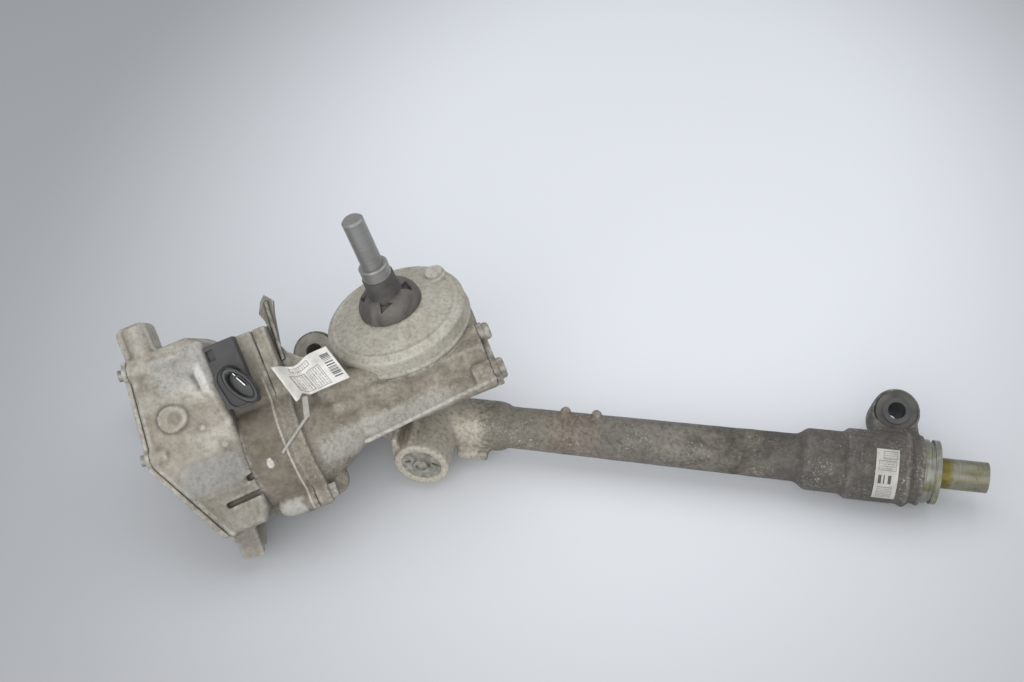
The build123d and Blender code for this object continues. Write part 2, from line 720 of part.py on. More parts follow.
with BuildPart() as end_housing:
    turned(
        rack_at(0),
        (
            (0, TUBE_END),
            (TUBE_R_RIGHT, TUBE_END),
            (END_STEP_R, END_STEP_FROM + 2),
            (END_STEP_R, END_FROM),
            (END_R, END_FROM + 3),
            (END_R, END_TO - 10),
            (END_R - 2, END_TO - 9),
            (END_R - 2, END_TO - 4),
            (END_R, END_TO - 3),
            (END_R, END_TO),
            (0, END_TO),
        ),
    )
    bushed_eye(RIGHT_BUSH_X)
    # Cavities.
    slug(rack_at(TUBE_END), TUBE_BORE_R, END_TO - TUBE_END, mode=Mode.SUBTRACT)
    slug(rack_at(END_STEP_FROM), RACK_BUSH_R, RACK_BUSH_LENGTH, mode=Mode.SUBTRACT)
    slug(rack_at(END_STEP_FROM + RACK_BUSH_LENGTH), END_CUP_R, END_TO, mode=Mode.SUBTRACT)
    slug(bush_at(RIGHT_BUSH_X, -BUSH_LENGTH), RUBBER_R, 2 * BUSH_LENGTH, mode=Mode.SUBTRACT)
write(end_housing.part, "end_housing")

# ---------------------------------------------------------------- gear case
def ear_places():
    """Centres of the motor joint's three ears, in the control unit's directions."""
    return [
        (EAR_REACH * cos(radians(angle)), EAR_REACH * sin(radians(angle)))
        for angle in EAR_ANGLES
    ]


def joint_outline(plane, top):
    """Sketch the outline that both halves of the motor joint share."""
    with BuildSketch(plane) as outline:
        Circle(FLANGE_R)
        with BuildLine():
            Polyline((-14, 20), (-14, top), (TROUGH_FACE - 4, top), (TROUGH_FACE, 20), close=True)
        make_face()
        for angle in EAR_ANGLES:
            with PolarLocations(EAR_REACH / 2, 1, start_angle=angle):
                SlotCenterToCenter(EAR_REACH, 2 * EAR_R)
    return outline.sketch


case_flange_from = FLANGE_FACE - FLANGE_THICK

with BuildPart() as gear_housing:
    slug(pinion_at(CASE_BASE), CASE_R, CASE_TOP - CASE_BASE)
    slug(motor_at(-TUNNEL_END), TUNNEL_R, TUNNEL_END + case_flange_from)
    turned(
        motor_at(0),
        ((0, CONE_FROM), (TUNNEL_R, CONE_FROM), (CONE_R, case_flange_from), (0, case_flange_from)),
    )
    extrude(joint_outline(unit_at(case_flange_from), JOINT_TOP), amount=FLANGE_THICK)
    with BuildSketch(motor_at(-TUNNEL_END)) as skirt:
        edge_x = CASE_EDGE_FRONT - CENTRE_DISTANCE
        edge_top = CASE_EDGE_TO - WORM_HEIGHT
        edge_bottom = CASE_EDGE_FROM - WORM_HEIGHT
        rim_top = CASE_TOP - WORM_HEIGHT
        with BuildLine():
            Polyline(
                (-CENTRE_DISTANCE, rim_top - 2),
                (CASE_R - CENTRE_DISTANCE - 3, rim_top - 2),
                (edge_x - 6, edge_top + 10),
                (edge_x, edge_top),
                (edge_x, edge_bottom),
                (TUNNEL_R / 2, edge_bottom),
                (0, -TUNNEL_R),
                (-TUNNEL_R, -TUNNEL_R / 2),
                (-CENTRE_DISTANCE, -TUNNEL_R / 2),
                close=True,
            )
        make_face()
    extrude(skirt.sketch, amount=TUNNEL_END + CONE_FROM)
    with BuildSketch(pinion_at(RIM_LUG_FROM)) as rim_lug:
        with Locations(RIM_LUG):
            Circle(RIM_LUG_R)
    extrude(rim_lug.sketch, amount=RIM_LUG_TO - RIM_LUG_FROM)
    for angle in CAP_EAR_ANGLES:
        with BuildSketch(unit_at(-TUNNEL_END)) as boss:
            with PolarLocations(CAP_EAR_REACH, 1, start_angle=angle):
                Circle(CAP_EAR_R)
        extrude(boss.sketch, amount=16)
    # Room for the sensor cover, then the cavities.
    slug(pinion_at(CASE_TOP), COVER_R + GAP, CASE_TOP, mode=Mode.SUBTRACT)
    slug(pinion_at(CHAMBER_FLOOR), CHAMBER_R, CASE_TOP, mode=Mode.SUBTRACT)
    slug(pinion_at(CASE_BASE), UPPER_JOURNAL_R + 2, CASE_TOP, mode=Mode.SUBTRACT)
    slug(motor_at(-TUNNEL_END), WORM_BEARING_R, TUNNEL_END + coupling_from, mode=Mode.SUBTRACT)
    slug(motor_at(coupling_from - 2), COUPLING_BORE_R, FLANGE_FACE, mode=Mode.SUBTRACT)
    with BuildSketch(unit_at(case_flange_from)) as holes:
        with Locations(*ear_places()):
            Circle(EAR_HOLE_R)
    extrude(holes.sketch, amount=FLANGE_THICK, mode=Mode.SUBTRACT)
write(gear_housing.part, "gear_housing")

with BuildPart() as worm_cap:
    slug(motor_at(-TUNNEL_END), WORM_BEARING_R, WORM_CAP_DEPTH)
    slug(motor_at(-TUNNEL_END), CASE_END_R, -WORM_CAP_THICK)
    for angle in CAP_EAR_ANGLES:
        with BuildSketch(unit_at(-TUNNEL_END)) as lug:
            with PolarLocations(CAP_EAR_REACH, 1, start_angle=angle):
                Circle(CAP_EAR_R)
        extrude(lug.sketch, amount=-WORM_CAP_THICK)
write(worm_cap.part, "worm_cap")

with BuildPart() as cap_screws:
    for angle in CAP_EAR_ANGLES:
        with BuildSketch(unit_at(-TUNNEL_END - WORM_CAP_THICK)) as head:
            with PolarLocations(CAP_EAR_REACH, 1, start_angle=angle):
                Circle(CAP_SCREW_R)
        extrude(head.sketch, amount=-CAP_SCREW_RISE)
    rims = cap_screws.faces().filter_by(GeomType.PLANE).sort_by(Axis(WORM, MOTOR))[-3:]
    fillet(rims.edges(), radius=CAP_SCREW_RISE * 0.6)
write(cap_screws.part, "cap_screws")

# ---------------------------------------------------------------- sensor cover and boot
with BuildPart() as sensor_cover:
    ceiling = COVER_SIDE_TOP - COVER_WALL
    turned(
        pinion_at(0),
        (
            (CHAMBER_R, CASE_TOP),
            (COVER_R, CASE_TOP),
            (COVER_R, COVER_SIDE_TOP - 2),
            (COVER_R - 2, COVER_SIDE_TOP),
            (COVER_CROWN_R, COVER_CROWN),
            (COVER_HOLE_R, COVER_CROWN),
            (COVER_HOLE_R, ceiling),
            (CHAMBER_R, ceiling),
        ),
    )
    with BuildSketch(pinion_at(ceiling)) as plug_seat:
        with Locations((PLUG_PLACE_R * cos(plug_angle), PLUG_PLACE_R * sin(plug_angle))):
            Circle(COVER_PLUG_R + 1.5)
    extrude(plug_seat.sketch, amount=PLUG_SEAT_TOP - ceiling)
write(sensor_cover.part, "sensor_cover")

with BuildPart() as cover_plug:
    with BuildSketch(pinion_at(PLUG_SEAT_TOP)) as head:
        with Locations((PLUG_PLACE_R * cos(plug_angle), PLUG_PLACE_R * sin(plug_angle))):
            Circle(COVER_PLUG_R)
    extrude(head.sketch, amount=PLUG_HEAD)
write(cover_plug.part, "cover_plug")

with BuildPart() as torque_sensor:
    tube(pinion_at(ceiling - SENSOR_DEPTH), SENSOR_R, INPUT_INNER_R + 1, SENSOR_DEPTH)
write(torque_sensor.part, "torque_sensor")

with BuildPart() as shaft_seal:
    tube(pinion_at(COVER_CROWN - SEAL_SINK - SEAL_THICK), COVER_HOLE_R, INPUT_INNER_R + RUN, SEAL_THICK)
write(shaft_seal.part, "shaft_seal")

with BuildPart() as dust_boot:
    neck_in = INPUT_INNER_R + GAP
    turned(
        pinion_at(0),
        (
            (COVER_HOLE_R + 1, COVER_CROWN),
            (BOOT_R, COVER_CROWN),
            (BOOT_R, COVER_CROWN + 3),
            (BOOT_R - 3, COVER_CROWN + 9),
            (COLLAR_R + 3, BOOT_TOP - 3),
            (COLLAR_R + 1, BOOT_TOP),
            (COLLAR_R + 1, COLLAR_FROM - GAP),
            (neck_in, COLLAR_FROM - GAP),
            (neck_in, BOOT_TOP - 6),
            (COVER_HOLE_R + 1, BOOT_TOP - 10),
        ),
    )
write(dust_boot.part, "dust_boot")

# ---------------------------------------------------------------- motor and control unit
with BuildPart() as motor_housing:
    extrude(joint_outline(unit_at(FLANGE_FACE), JOINT_TOP), amount=MOTOR_FLANGE_THICK)
    with BuildSketch(unit_at(FLANGE_FACE)) as can:
        Circle(MOTOR_CAN_R)
        with Locations(((TROUGH_FACE + TROUGH_BACK) / 2, (TROUGH_TOP + TROUGH_BOTTOM) / 2)):
            Rectangle(TROUGH_FACE - TROUGH_BACK, TROUGH_TOP - TROUGH_BOTTOM)
    extrude(can.sketch, amount=ECU_FROM - FLANGE_FACE)
    slug(motor_at(FLANGE_FACE), STATOR_R - 6, ECU_FROM, mode=Mode.SUBTRACT)
    with BuildSketch(unit_at(FLANGE_FACE)) as holes:
        with Locations(*ear_places()):
            Circle(EAR_HOLE_R)
    extrude(holes.sketch, amount=2 * MOTOR_FLANGE_THICK, mode=Mode.SUBTRACT)
write(motor_housing.part, "motor_housing")

with BuildPart() as motor_stator:
    tube(motor_at(ECU_FROM + 2), STATOR_R, STATOR_BORE_R, ROTOR_TO - ECU_FROM + 2)
write(motor_stator.part, "motor_stator")

right = ECU_MID - ECU_FROM
WALL_UP = (MOTOR * (ECU_LEFT_HIGH - ECU_LEFT_LOW) + RISE * (ECU_TOP - CORNER_RISE)).normalized()
WALL_OUT = WALL_UP.cross(FACE) * -1
wall_foot = WORM - MOTOR * (ECU_MID - ECU_LEFT_LOW) + RISE * CORNER_RISE


def wall_at(depth):
    """Plane of the unit's leaning outer wall, local X facing forward, Y up the wall."""
    return Plane(origin=wall_foot + WALL_OUT * depth, x_dir=FACE, z_dir=WALL_OUT)


def back_corner(plane):
    """Outline of what is missing at the unit's lower back."""
    with BuildSketch(plane) as corner:
        with BuildLine():
            Polyline(
                (ECU_BACK - 5, FOOT_TIP),
                (ECU_BACK - 5, ECU_BOTTOM + 36),
                (ECU_BACK + 28, FOOT_TIP),
                close=True,
            )
        make_face()
    return corner.sketch


with BuildPart() as ecu_housing:
    with BuildSketch(face_at(ECU_BACK)) as body:
        with BuildLine():
            Polyline(
                (right, ECU_TOP - 8),
                (right - 10, ECU_TOP),
                (ECU_LEFT_HIGH, ECU_TOP),
                (ECU_LEFT_LOW, CORNER_RISE),
                (ECU_LEFT_LOW + CORNER_RUN, ECU_BOTTOM),
                (right - 6, ECU_BOTTOM),
                (right, ECU_BOTTOM + 10),
                close=True,
            )
        make_face()
    extrude(body.sketch, amount=ECU_FACE - ECU_BACK)
    broad = ecu_housing.faces().sort_by(Axis(WORM, FACE))[-1]
    fillet(broad.edges(), radius=BROAD_FILLET)
    # Raised pad and the groove beside it.
    with BuildSketch(face_at(ECU_FACE - 1)) as pad:
        with Locations(PAD_PLACE):
            RectangleRounded(*PAD_SIZE, 8)
    extrude(pad.sketch, amount=1 + PAD_RISE, taper=20)
    with BuildSketch(face_at(ECU_FACE)) as groove:
        with Locations(GROOVE_PLACE):
            SlotOverall(GROOVE_LENGTH, GROOVE_WIDTH, rotation=GROOVE_TURN)
    extrude(groove.sketch, amount=-GROOVE_DEPTH, mode=Mode.SUBTRACT)
    # Foot lug at the bottom, bolt lug at the top with its pillar, and the ear behind it.
    with BuildSketch(face_at(FOOT_BACK)) as foot:
        with BuildLine():
            Polyline(
                (ECU_LEFT_LOW + CORNER_RUN, ECU_BOTTOM + 2),
                (ECU_LEFT_LOW + CORNER_RUN + 1, FOOT_TIP + 5),
                (ECU_LEFT_LOW + CORNER_RUN + 4, FOOT_TIP),
                (FOOT_RIGHT - 7, FOOT_TIP),
                (FOOT_RIGHT, ECU_BOTTOM + 2),
                close=True,
            )
        make_face()
    extrude(foot.sketch, amount=FOOT_FRONT - FOOT_BACK)
    with BuildSketch(face_at(ECU_FACE - 34)) as lug:
        with Locations((LUG_X, (ECU_TOP + LUG_TOP) / 2 - 2)):
            RectangleRounded(LUG_WIDTH, LUG_TOP - ECU_TOP + 4, 6)
    extrude(lug.sketch, amount=30)
    with BuildSketch(unit_at(ECU_MID - LUG_X)) as ear:
        with Locations((ECU_FACE - 19, LUG_TOP - 9)):
            Circle(9)
    extrude(ear.sketch, amount=LUG_WIDTH / 2 - 2)
    pillar_foot = face_at(ECU_FACE - 6).origin + RISE * PILLAR_FOOT
    with BuildSketch(Plane(origin=pillar_foot, x_dir=MOTOR, z_dir=RISE)) as pillar:
        with Locations((LUG_X + 2, 0)):
            Circle(PILLAR_R)
    extrude(pillar.sketch, amount=LUG_TOP - 2 - PILLAR_FOOT)
    # Screw lugs along the cover's rim.
    for rise in WALL_LUGS:
        with BuildSketch(wall_at(-WALL_LUG_DEPTH)) as wall_lug:
            with Locations((ECU_FACE - 4, rise)):
                Circle(WALL_LUG_R)
        extrude(wall_lug.sketch, amount=WALL_LUG_DEPTH)
    extrude(back_corner(unit_at(ECU_FROM - 5)), amount=90, mode=Mode.SUBTRACT)
    # Round boss on the broad face.
    with BuildSketch(face_at(ECU_FACE)) as boss:
        with Locations((-3, 54)):
            Circle(BOSS_FACE_R)
            Circle(2, mode=Mode.SUBTRACT)
    extrude(boss.sketch, amount=4)
    with BuildSketch(face_at(ECU_FACE)) as bumps:
        for place in BUMPS:
            with Locations(place):
                Circle(BUMP_R)
    extrude(bumps.sketch, amount=BUMP_RISE, taper=35)
    # Cavities.
    slug(motor_at(ECU_FROM), STATOR_R, ROTOR_TO - ECU_FROM + 4, mode=Mode.SUBTRACT)
    slug(motor_at(ECU_FROM), ROTOR_SHAFT_R + 3, BOARD_SEAT - ECU_FROM, mode=Mode.SUBTRACT)
    with BuildSketch(unit_at(BOARD_SEAT)) as tray:
        with Locations(((ECU_FACE + ECU_BACK) / 2, (ECU_TOP + CORNER_RISE) / 2)):
            Rectangle(ECU_FACE - ECU_BACK - 2 * ECU_WALL, ECU_TOP - CORNER_RISE - 2 * ECU_WALL)
    extrude(tray.sketch, amount=2 * ECU_WALL - ECU_LEFT_LOW, mode=Mode.SUBTRACT)
write(ecu_housing.part, "ecu_housing")

with BuildPart() as circuit_board:
    with BuildSketch(unit_at(BOARD_SEAT)) as board:
        with Locations(((ECU_FACE + ECU_BACK) / 2, (ECU_TOP + CORNER_RISE) / 2)):
            Rectangle(ECU_FACE - ECU_BACK - 2 * ECU_WALL - 2, ECU_TOP - CORNER_RISE - 2 * ECU_WALL - 2)
    extrude(board.sketch, amount=BOARD_THICK)
write(circuit_board.part, "circuit_board")

with BuildPart() as ecu_cover:
    with BuildSketch(face_at(ECU_BACK + 2)) as band:
        with BuildLine():
            Polyline(
                (ECU_LEFT_HIGH, ECU_TOP),
                (ECU_LEFT_LOW, CORNER_RISE),
                (ECU_LEFT_LOW + CORNER_RUN, ECU_BOTTOM),
                (ECU_LEFT_LOW + CORNER_RUN - COVER_PLATE - 1, ECU_BOTTOM),
                (ECU_LEFT_LOW - COVER_PLATE, CORNER_RISE - 1),
                (ECU_LEFT_HIGH - COVER_PLATE, ECU_TOP),
                close=True,
            )
        make_face()
    extrude(band.sketch, amount=ECU_FACE - ECU_BACK - 4)
    for rise in WALL_LUGS:
        with BuildSketch(wall_at(0)) as wall_ear:
            with Locations((ECU_FACE - 4, rise)):
                Circle(WALL_LUG_R)
        extrude(wall_ear.sketch, amount=COVER_PLATE)
    extrude(back_corner(unit_at(ECU_FROM - 5)), amount=90, mode=Mode.SUBTRACT)
write(ecu_cover.part, "ecu_cover")

with BuildPart() as ecu_cover_screws:
    with BuildSketch(wall_at(COVER_PLATE)) as heads:
        for rise in WALL_LUGS:
            with Locations((ECU_FACE - 4, rise), (ECU_BACK + 9, rise)):
                Circle(SCREW_HEAD_R)
    extrude(heads.sketch, amount=SCREW_HEAD)
write(ecu_cover_screws.part, "ecu_cover_screws")

shell_foot = TROUGH_FACE + CONNECTOR_BASE

with BuildPart() as connector:
    with BuildSketch(face_at(TROUGH_FACE)) as base:
        with Locations((CONNECTOR_X, CONNECTOR_Y)):
            Rectangle(CONNECTOR_WIDTH, CONNECTOR_LENGTH)
    extrude(base.sketch, amount=CONNECTOR_BASE)
    with BuildSketch(face_at(shell_foot)) as shell:
        with Locations((CONNECTOR_X, CONNECTOR_Y - SHELL_DROP)):
            SlotOverall(SHELL_LENGTH, SHELL_WIDTH, rotation=SHELL_TURN)
    extrude(shell.sketch, amount=SHELL_HEIGHT)
    with BuildSketch(face_at(shell_foot - 2)) as socket:
        with Locations((CONNECTOR_X, CONNECTOR_Y - SHELL_DROP)):
            SlotOverall(SHELL_LENGTH - 2 * SHELL_WALL, SHELL_WIDTH - 2 * SHELL_WALL, rotation=SHELL_TURN)
    extrude(socket.sketch, amount=SHELL_HEIGHT + 2, mode=Mode.SUBTRACT)
write(connector.part, "connector")

with BuildPart() as connector_pins:
    with BuildSketch(face_at(shell_foot - 2)) as pins:
        for step in (-1, 0, 1):
            with Locations((CONNECTOR_X, CONNECTOR_Y - SHELL_DROP + PIN_SPACING * step)):
                Rectangle(PIN_WIDTH, PIN_THICK)
    extrude(pins.sketch, amount=PIN_LENGTH)
write(connector_pins.part, "connector_pins")

# ---------------------------------------------------------------- fasteners
with BuildPart() as motor_bolts:
    for x, y in ear_places():
        with BuildSketch(unit_at(case_flange_from)) as shank:
            with Locations((x, y)):
                Circle(EAR_HOLE_R - 0.2)
        extrude(shank.sketch, amount=FLANGE_THICK + MOTOR_FLANGE_THICK)
        with BuildSketch(unit_at(case_flange_from)) as head:
            with Locations((x, y)):
                RegularPolygon(BOLT_HEAD_R, 6)
        extrude(head.sketch, amount=-BOLT_HEAD)
write(motor_bolts.part, "motor_bolts")

with BuildPart() as case_bolts:
    with BuildSketch(pinion_at(CASE_BASE - TOWER_FLANGE_THICK)) as heads:
        with PolarLocations(CASE_BOLT_REACH, 3, start_angle=30):
            RegularPolygon(BOLT_HEAD_R, 6)
    extrude(heads.sketch, amount=-BOLT_HEAD)
write(case_bolts.part, "case_bolts")

# ---------------------------------------------------------------- harness bracket
def on_bracket(places):
    """Places on the bracket as points of its sheet's plane."""
    return [(ECU_MID - reach, rise) for reach, rise in places]


def beside(places, width):
    """Places on the bracket, and back along them a width nearer to the unit."""
    return on_bracket([*places, *[(reach + width, rise) for reach, rise in reversed(places)]])


with BuildPart() as harness_bracket:
    with BuildSketch(face_at(BRACKET_DEPTH)) as blade:
        with BuildLine():
            Polyline(*on_bracket(BRACKET_OUTLINE), close=True)
        make_face()
    extrude(blade.sketch, amount=BRACKET_THICK)
    with BuildSketch(face_at(BRACKET_DEPTH + BRACKET_THICK)) as ridge:
        with BuildLine():
            Polyline(*beside((RIDGE_FOOT, RIDGE_HEAD), BRACKET_RIDGE), close=True)
        make_face()
    extrude(ridge.sketch, amount=BRACKET_THICK)
    with BuildSketch(face_at(BRACKET_DEPTH)) as edge:
        with BuildLine():
            Polyline(*beside((BRACKET_HEEL, BRACKET_BEND, BRACKET_TIP), BRACKET_EDGE), close=True)
        make_face()
    extrude(edge.sketch, amount=-BRACKET_LIP)
write(harness_bracket.part, "harness_bracket")

# ---------------------------------------------------------------- paper tag on its strip
with BuildPart() as tag:
    with BuildSketch(face_at(TAG_DEPTH)) as sheet:
        with Locations((TAG_X, TAG_Y)):
            Rectangle(TAG_LENGTH, TAG_HEIGHT, rotation=TAG_TURN)
    extrude(sheet.sketch, amount=TAG_THICK)
write(tag.part, "tag")

with BuildPart() as tag_strap:
    with BuildSketch(Plane(origin=WORM + RISE * STRAP_RISE, x_dir=-MOTOR, z_dir=RISE)) as ribbon:
        with BuildLine():
            Polyline(
                (STRAP_OUT - 16, TAG_DEPTH),
                (STRAP_OUT - 6, TAG_DEPTH),
                (STRAP_OUT - 1.5, TAG_DEPTH - 3),
                (STRAP_OUT, 0),
                (STRAP_OUT - STRAP_THICK, 0),
                (STRAP_OUT - 1.5 - STRAP_THICK, TAG_DEPTH - 3 - STRAP_THICK),
                (STRAP_OUT - 6, TAG_DEPTH - STRAP_THICK),
                (STRAP_OUT - 16, TAG_DEPTH - STRAP_THICK),
                close=True,
            )
        make_face()
    extrude(ribbon.sketch, amount=STRAP_WIDTH)
    slug(motor_at(0), FLANGE_R, FLANGE_FACE, mode=Mode.SUBTRACT)
write(tag_strap.part, "tag_strap")
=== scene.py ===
"""Looks of an electric power steering gear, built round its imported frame.

Each sub-assembly is a class.  The castings are dressed copies of the frame's solids: small
cast details are joined on, the edges are run together as in a foundry's mould, and the skin
gets its unevenness.  Turned and moulded pieces are modelled on their own axes.  Every piece
rides on the body that carries it.
"""

import json
import logging
import math
from collections.abc import Callable, Iterable, Sequence
from dataclasses import dataclass
from enum import Enum

import bpy
import numpy as np
from mathutils import Matrix, Vector


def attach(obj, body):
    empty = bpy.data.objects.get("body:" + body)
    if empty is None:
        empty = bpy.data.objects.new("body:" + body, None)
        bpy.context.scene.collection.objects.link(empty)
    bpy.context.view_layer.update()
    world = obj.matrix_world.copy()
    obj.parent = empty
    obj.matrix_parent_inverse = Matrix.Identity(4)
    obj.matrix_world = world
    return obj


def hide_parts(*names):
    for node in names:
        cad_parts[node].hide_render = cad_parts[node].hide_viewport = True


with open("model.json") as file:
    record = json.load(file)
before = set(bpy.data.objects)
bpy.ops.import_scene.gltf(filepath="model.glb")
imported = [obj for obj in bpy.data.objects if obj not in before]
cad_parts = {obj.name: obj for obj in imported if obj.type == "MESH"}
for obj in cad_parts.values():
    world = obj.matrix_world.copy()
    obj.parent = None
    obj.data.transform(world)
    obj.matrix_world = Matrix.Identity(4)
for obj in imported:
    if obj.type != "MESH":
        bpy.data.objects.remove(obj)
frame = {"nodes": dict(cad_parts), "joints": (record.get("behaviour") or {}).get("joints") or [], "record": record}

logging.basicConfig(level=logging.INFO, format="%(name)s: %(message)s")
LOG = logging.getLogger("steering_gear")

MM = 0.001
SHARP = math.radians(35.0)  # edges sharper than this stay crisp in the shading
BEVELLED = math.radians(32.0)  # edges sharper than this are bevelled
LUMP_SIZE = 14.0  # of a casting's unevenness, mm

Colour = tuple[float, float, float]
Place = tuple[float, float, float]  # mm
Profile = Sequence[tuple[float, float]]  # radius and height, mm
Box = tuple[float, float, float, float]  # left, right, low and high on a sheet's map
Piece = bpy.types.Object
Material = bpy.types.Material
Tree = bpy.types.NodeTree
Node = bpy.types.Node
Signal = bpy.types.NodeSocket


# ------------ layout
def joint(name: str) -> dict:
    """The frame's joint of that name."""
    return next(j for j in frame["joints"] if j["name"] == name)


def mount(name: str) -> dict:
    """The frame's mount of that name."""
    return next(m for m in frame["record"]["mounts"] if m["name"] == name)


def mm(x: float, y: float, z: float) -> Vector:
    """A vector given in mm."""
    return Vector((x, y, z)) * MM


def at(x: float, y: float, z: float) -> Matrix:
    """A shift given in mm."""
    return Matrix.Translation(mm(x, y, z))


def turn(degrees: float, axis: str) -> Matrix:
    """A turn about X, Y or Z."""
    return Matrix.Rotation(math.radians(degrees), 4, axis)


def axes(origin: Vector, x: Vector, y: Vector, z: Vector) -> Matrix:
    """A placing matrix from an origin and three axes."""
    return Matrix.Translation(origin) @ Matrix((x, y, z)).transposed().to_4x4()


@dataclass(frozen=True)
class Layout:
    """Axes and places of the gear, read from the frame's own joints and mounts."""

    tilt: float = math.radians(40.0)  # the control unit's broad face leans back
    unit_reach: float = 185.0  # from the worm's middle to the control unit's, mm

    @property
    def crossing(self) -> Vector:
        """Where the rack's axis and the rack guide's axis cross."""
        return Vector(joint("rack_slide")["pos_m"])

    @property
    def pinion(self) -> Vector:
        """Up the pinion."""
        return Vector(joint("steering_spin")["axis"]).normalized()

    @property
    def motor(self) -> Vector:
        """Along the worm, away from the motor."""
        return Vector(joint("worm_spin")["axis"]).normalized()

    @property
    def front(self) -> Vector:
        """Square to worm and pinion, forward."""
        return self.motor.cross(self.pinion)

    @property
    def face(self) -> Vector:
        """The way the control unit's broad face looks."""
        return self.front * math.cos(self.tilt) + self.pinion * math.sin(self.tilt)

    @property
    def rise(self) -> Vector:
        """Up the control unit's broad face."""
        return self.pinion * math.cos(self.tilt) - self.front * math.sin(self.tilt)

    def on_worm(self, reach: float) -> Vector:
        """A point on the worm's axis, at a distance from its middle towards the motor in mm."""
        return Vector(joint("worm_spin")["pos_m"]) - self.motor * reach * MM

    @property
    def broad_face(self) -> Matrix:
        """Axes at the control unit's middle: X to the gear case, Y up the unit, Z out of its broad face."""
        return axes(self.on_worm(self.unit_reach), self.motor, self.rise, self.face)

    @property
    def tower(self) -> Matrix:
        """Axes on the pinion, from the rack's mid plane: X to the right, Z up the pinion."""
        foot = Vector(joint("steering_spin")["pos_m"])
        return axes(foot, Vector((0, 1, 0)).cross(self.pinion), Vector((0, 1, 0)), self.pinion)

    def motor_frame(self, reach: float) -> Matrix:
        """Axes on the worm's line: X as the unit faces, Y up the unit, Z towards the motor's end."""
        return axes(self.on_worm(reach), self.face, self.rise, -self.motor)

    def rack_frame(self, x: float) -> Matrix:
        """Axes on the rack: Z along it to the right, Y up, at x from the crossing in mm."""
        place = self.crossing + mm(x, 0, 0)
        return axes(place, Vector((0, -1, 0)), Vector((0, 0, 1)), Vector((1, 0, 0)))

    def yoke_frame(self, depth: float) -> Matrix:
        """Axes on the rack guide: Z out to the front, Y up."""
        place = self.crossing + mm(0, -depth, 0)
        return axes(place, Vector((1, 0, 0)), Vector((0, 0, 1)), Vector((0, -1, 0)))


PLAN = Layout()


# ------------ modelling
def mode(name: str) -> None:
    """Open the active mesh for EDIT, or close it with OBJECT."""
    bpy.ops.object.mode_set(mode=name)


def deselect() -> None:
    """Nothing is selected and no mesh is open."""
    if bpy.context.mode != "OBJECT":
        mode("OBJECT")
    bpy.ops.object.select_all(action="DESELECT")


def named(name: str) -> Piece:
    """The piece that was just added, under its name."""
    piece = bpy.context.object
    piece.name = name
    return piece


def pick(piece: Piece) -> None:
    """Select one piece alone and make it the active one."""
    deselect()
    piece.select_set(True)
    bpy.context.view_layer.objects.active = piece


def fix_size() -> None:
    """Put the active object's place, turn and size into its mesh."""
    bpy.ops.object.transform_apply(location=True, rotation=True, scale=True)


def settle(piece: Piece, place: Matrix) -> Piece:
    """Put a piece in its place and leave its object at the origin.

    Args:
        piece: the mesh to move.
        place: where its own axes go.

    Returns:
        The same piece.
    """
    pick(piece)
    piece.matrix_world = place @ piece.matrix_world
    fix_size()
    return piece


def apply(piece: Piece, kind: str, **settings: object) -> None:
    """Add a modifier to a piece and apply it at once.

    Args:
        piece: the mesh to change.
        kind: Blender's modifier type.
        **settings: the modifier's properties.
    """
    pick(piece)
    modifier = piece.modifiers.new(kind.lower(), kind)
    for key, value in settings.items():
        setattr(modifier, key, value)
    bpy.ops.object.modifier_apply(modifier=modifier.name)


def round_off(piece: Piece) -> None:
    """Shade a piece smooth all over."""
    pick(piece)
    bpy.ops.object.shade_smooth()


def crisp(piece: Piece) -> None:
    """Shade a piece smooth, apart from its sharp edges."""
    pick(piece)
    bpy.ops.object.shade_smooth_by_angle(angle=SHARP)


def soften(piece: Piece, width: float) -> None:
    """Bevel a piece's sharp edges by a width in mm and shade it smooth."""
    apply(piece, "BEVEL", width=width * MM, segments=3, limit_method="ANGLE", angle_limit=BEVELLED)
    crisp(piece)


def turned(name: str, place: Matrix, profile: Profile, sides: int = 72, bevel: float = 0.0) -> Piece:
    """Turn a piece on a lathe: a disc is drawn up its axis step by step.

    Args:
        name: the piece's name.
        place: axes whose Z is the lathe's axis.
        profile: its radii and heights, from the first face to the last.
        sides: facets round the axis.
        bevel: width of the edges' softening in mm.

    Returns:
        The closed, finished mesh.
    """
    deselect()
    radius, height = profile[0]
    bpy.ops.mesh.primitive_circle_add(vertices=sides, radius=radius * MM, fill_type="NGON",
                                      location=(0, 0, height * MM))
    piece = named(name)
    bpy.ops.object.transform_apply(location=True)
    mode("EDIT")
    bpy.ops.mesh.select_all(action="SELECT")
    for new_radius, new_height in profile[1:]:
        step = (0, 0, (new_height - height) * MM)
        bpy.ops.mesh.extrude_region_move(TRANSFORM_OT_translate={"value": step})
        ratio = new_radius / radius
        bpy.ops.transform.resize(value=(ratio, ratio, 1), center_override=(0, 0, new_height * MM))
        radius, height = new_radius, new_height
    bpy.ops.mesh.select_all(action="SELECT")
    bpy.ops.mesh.normals_make_consistent(inside=False)
    mode("OBJECT")
    if bevel:
        soften(piece, bevel)
    else:
        bpy.ops.object.shade_smooth_by_angle(angle=SHARP)
    return settle(piece, place)


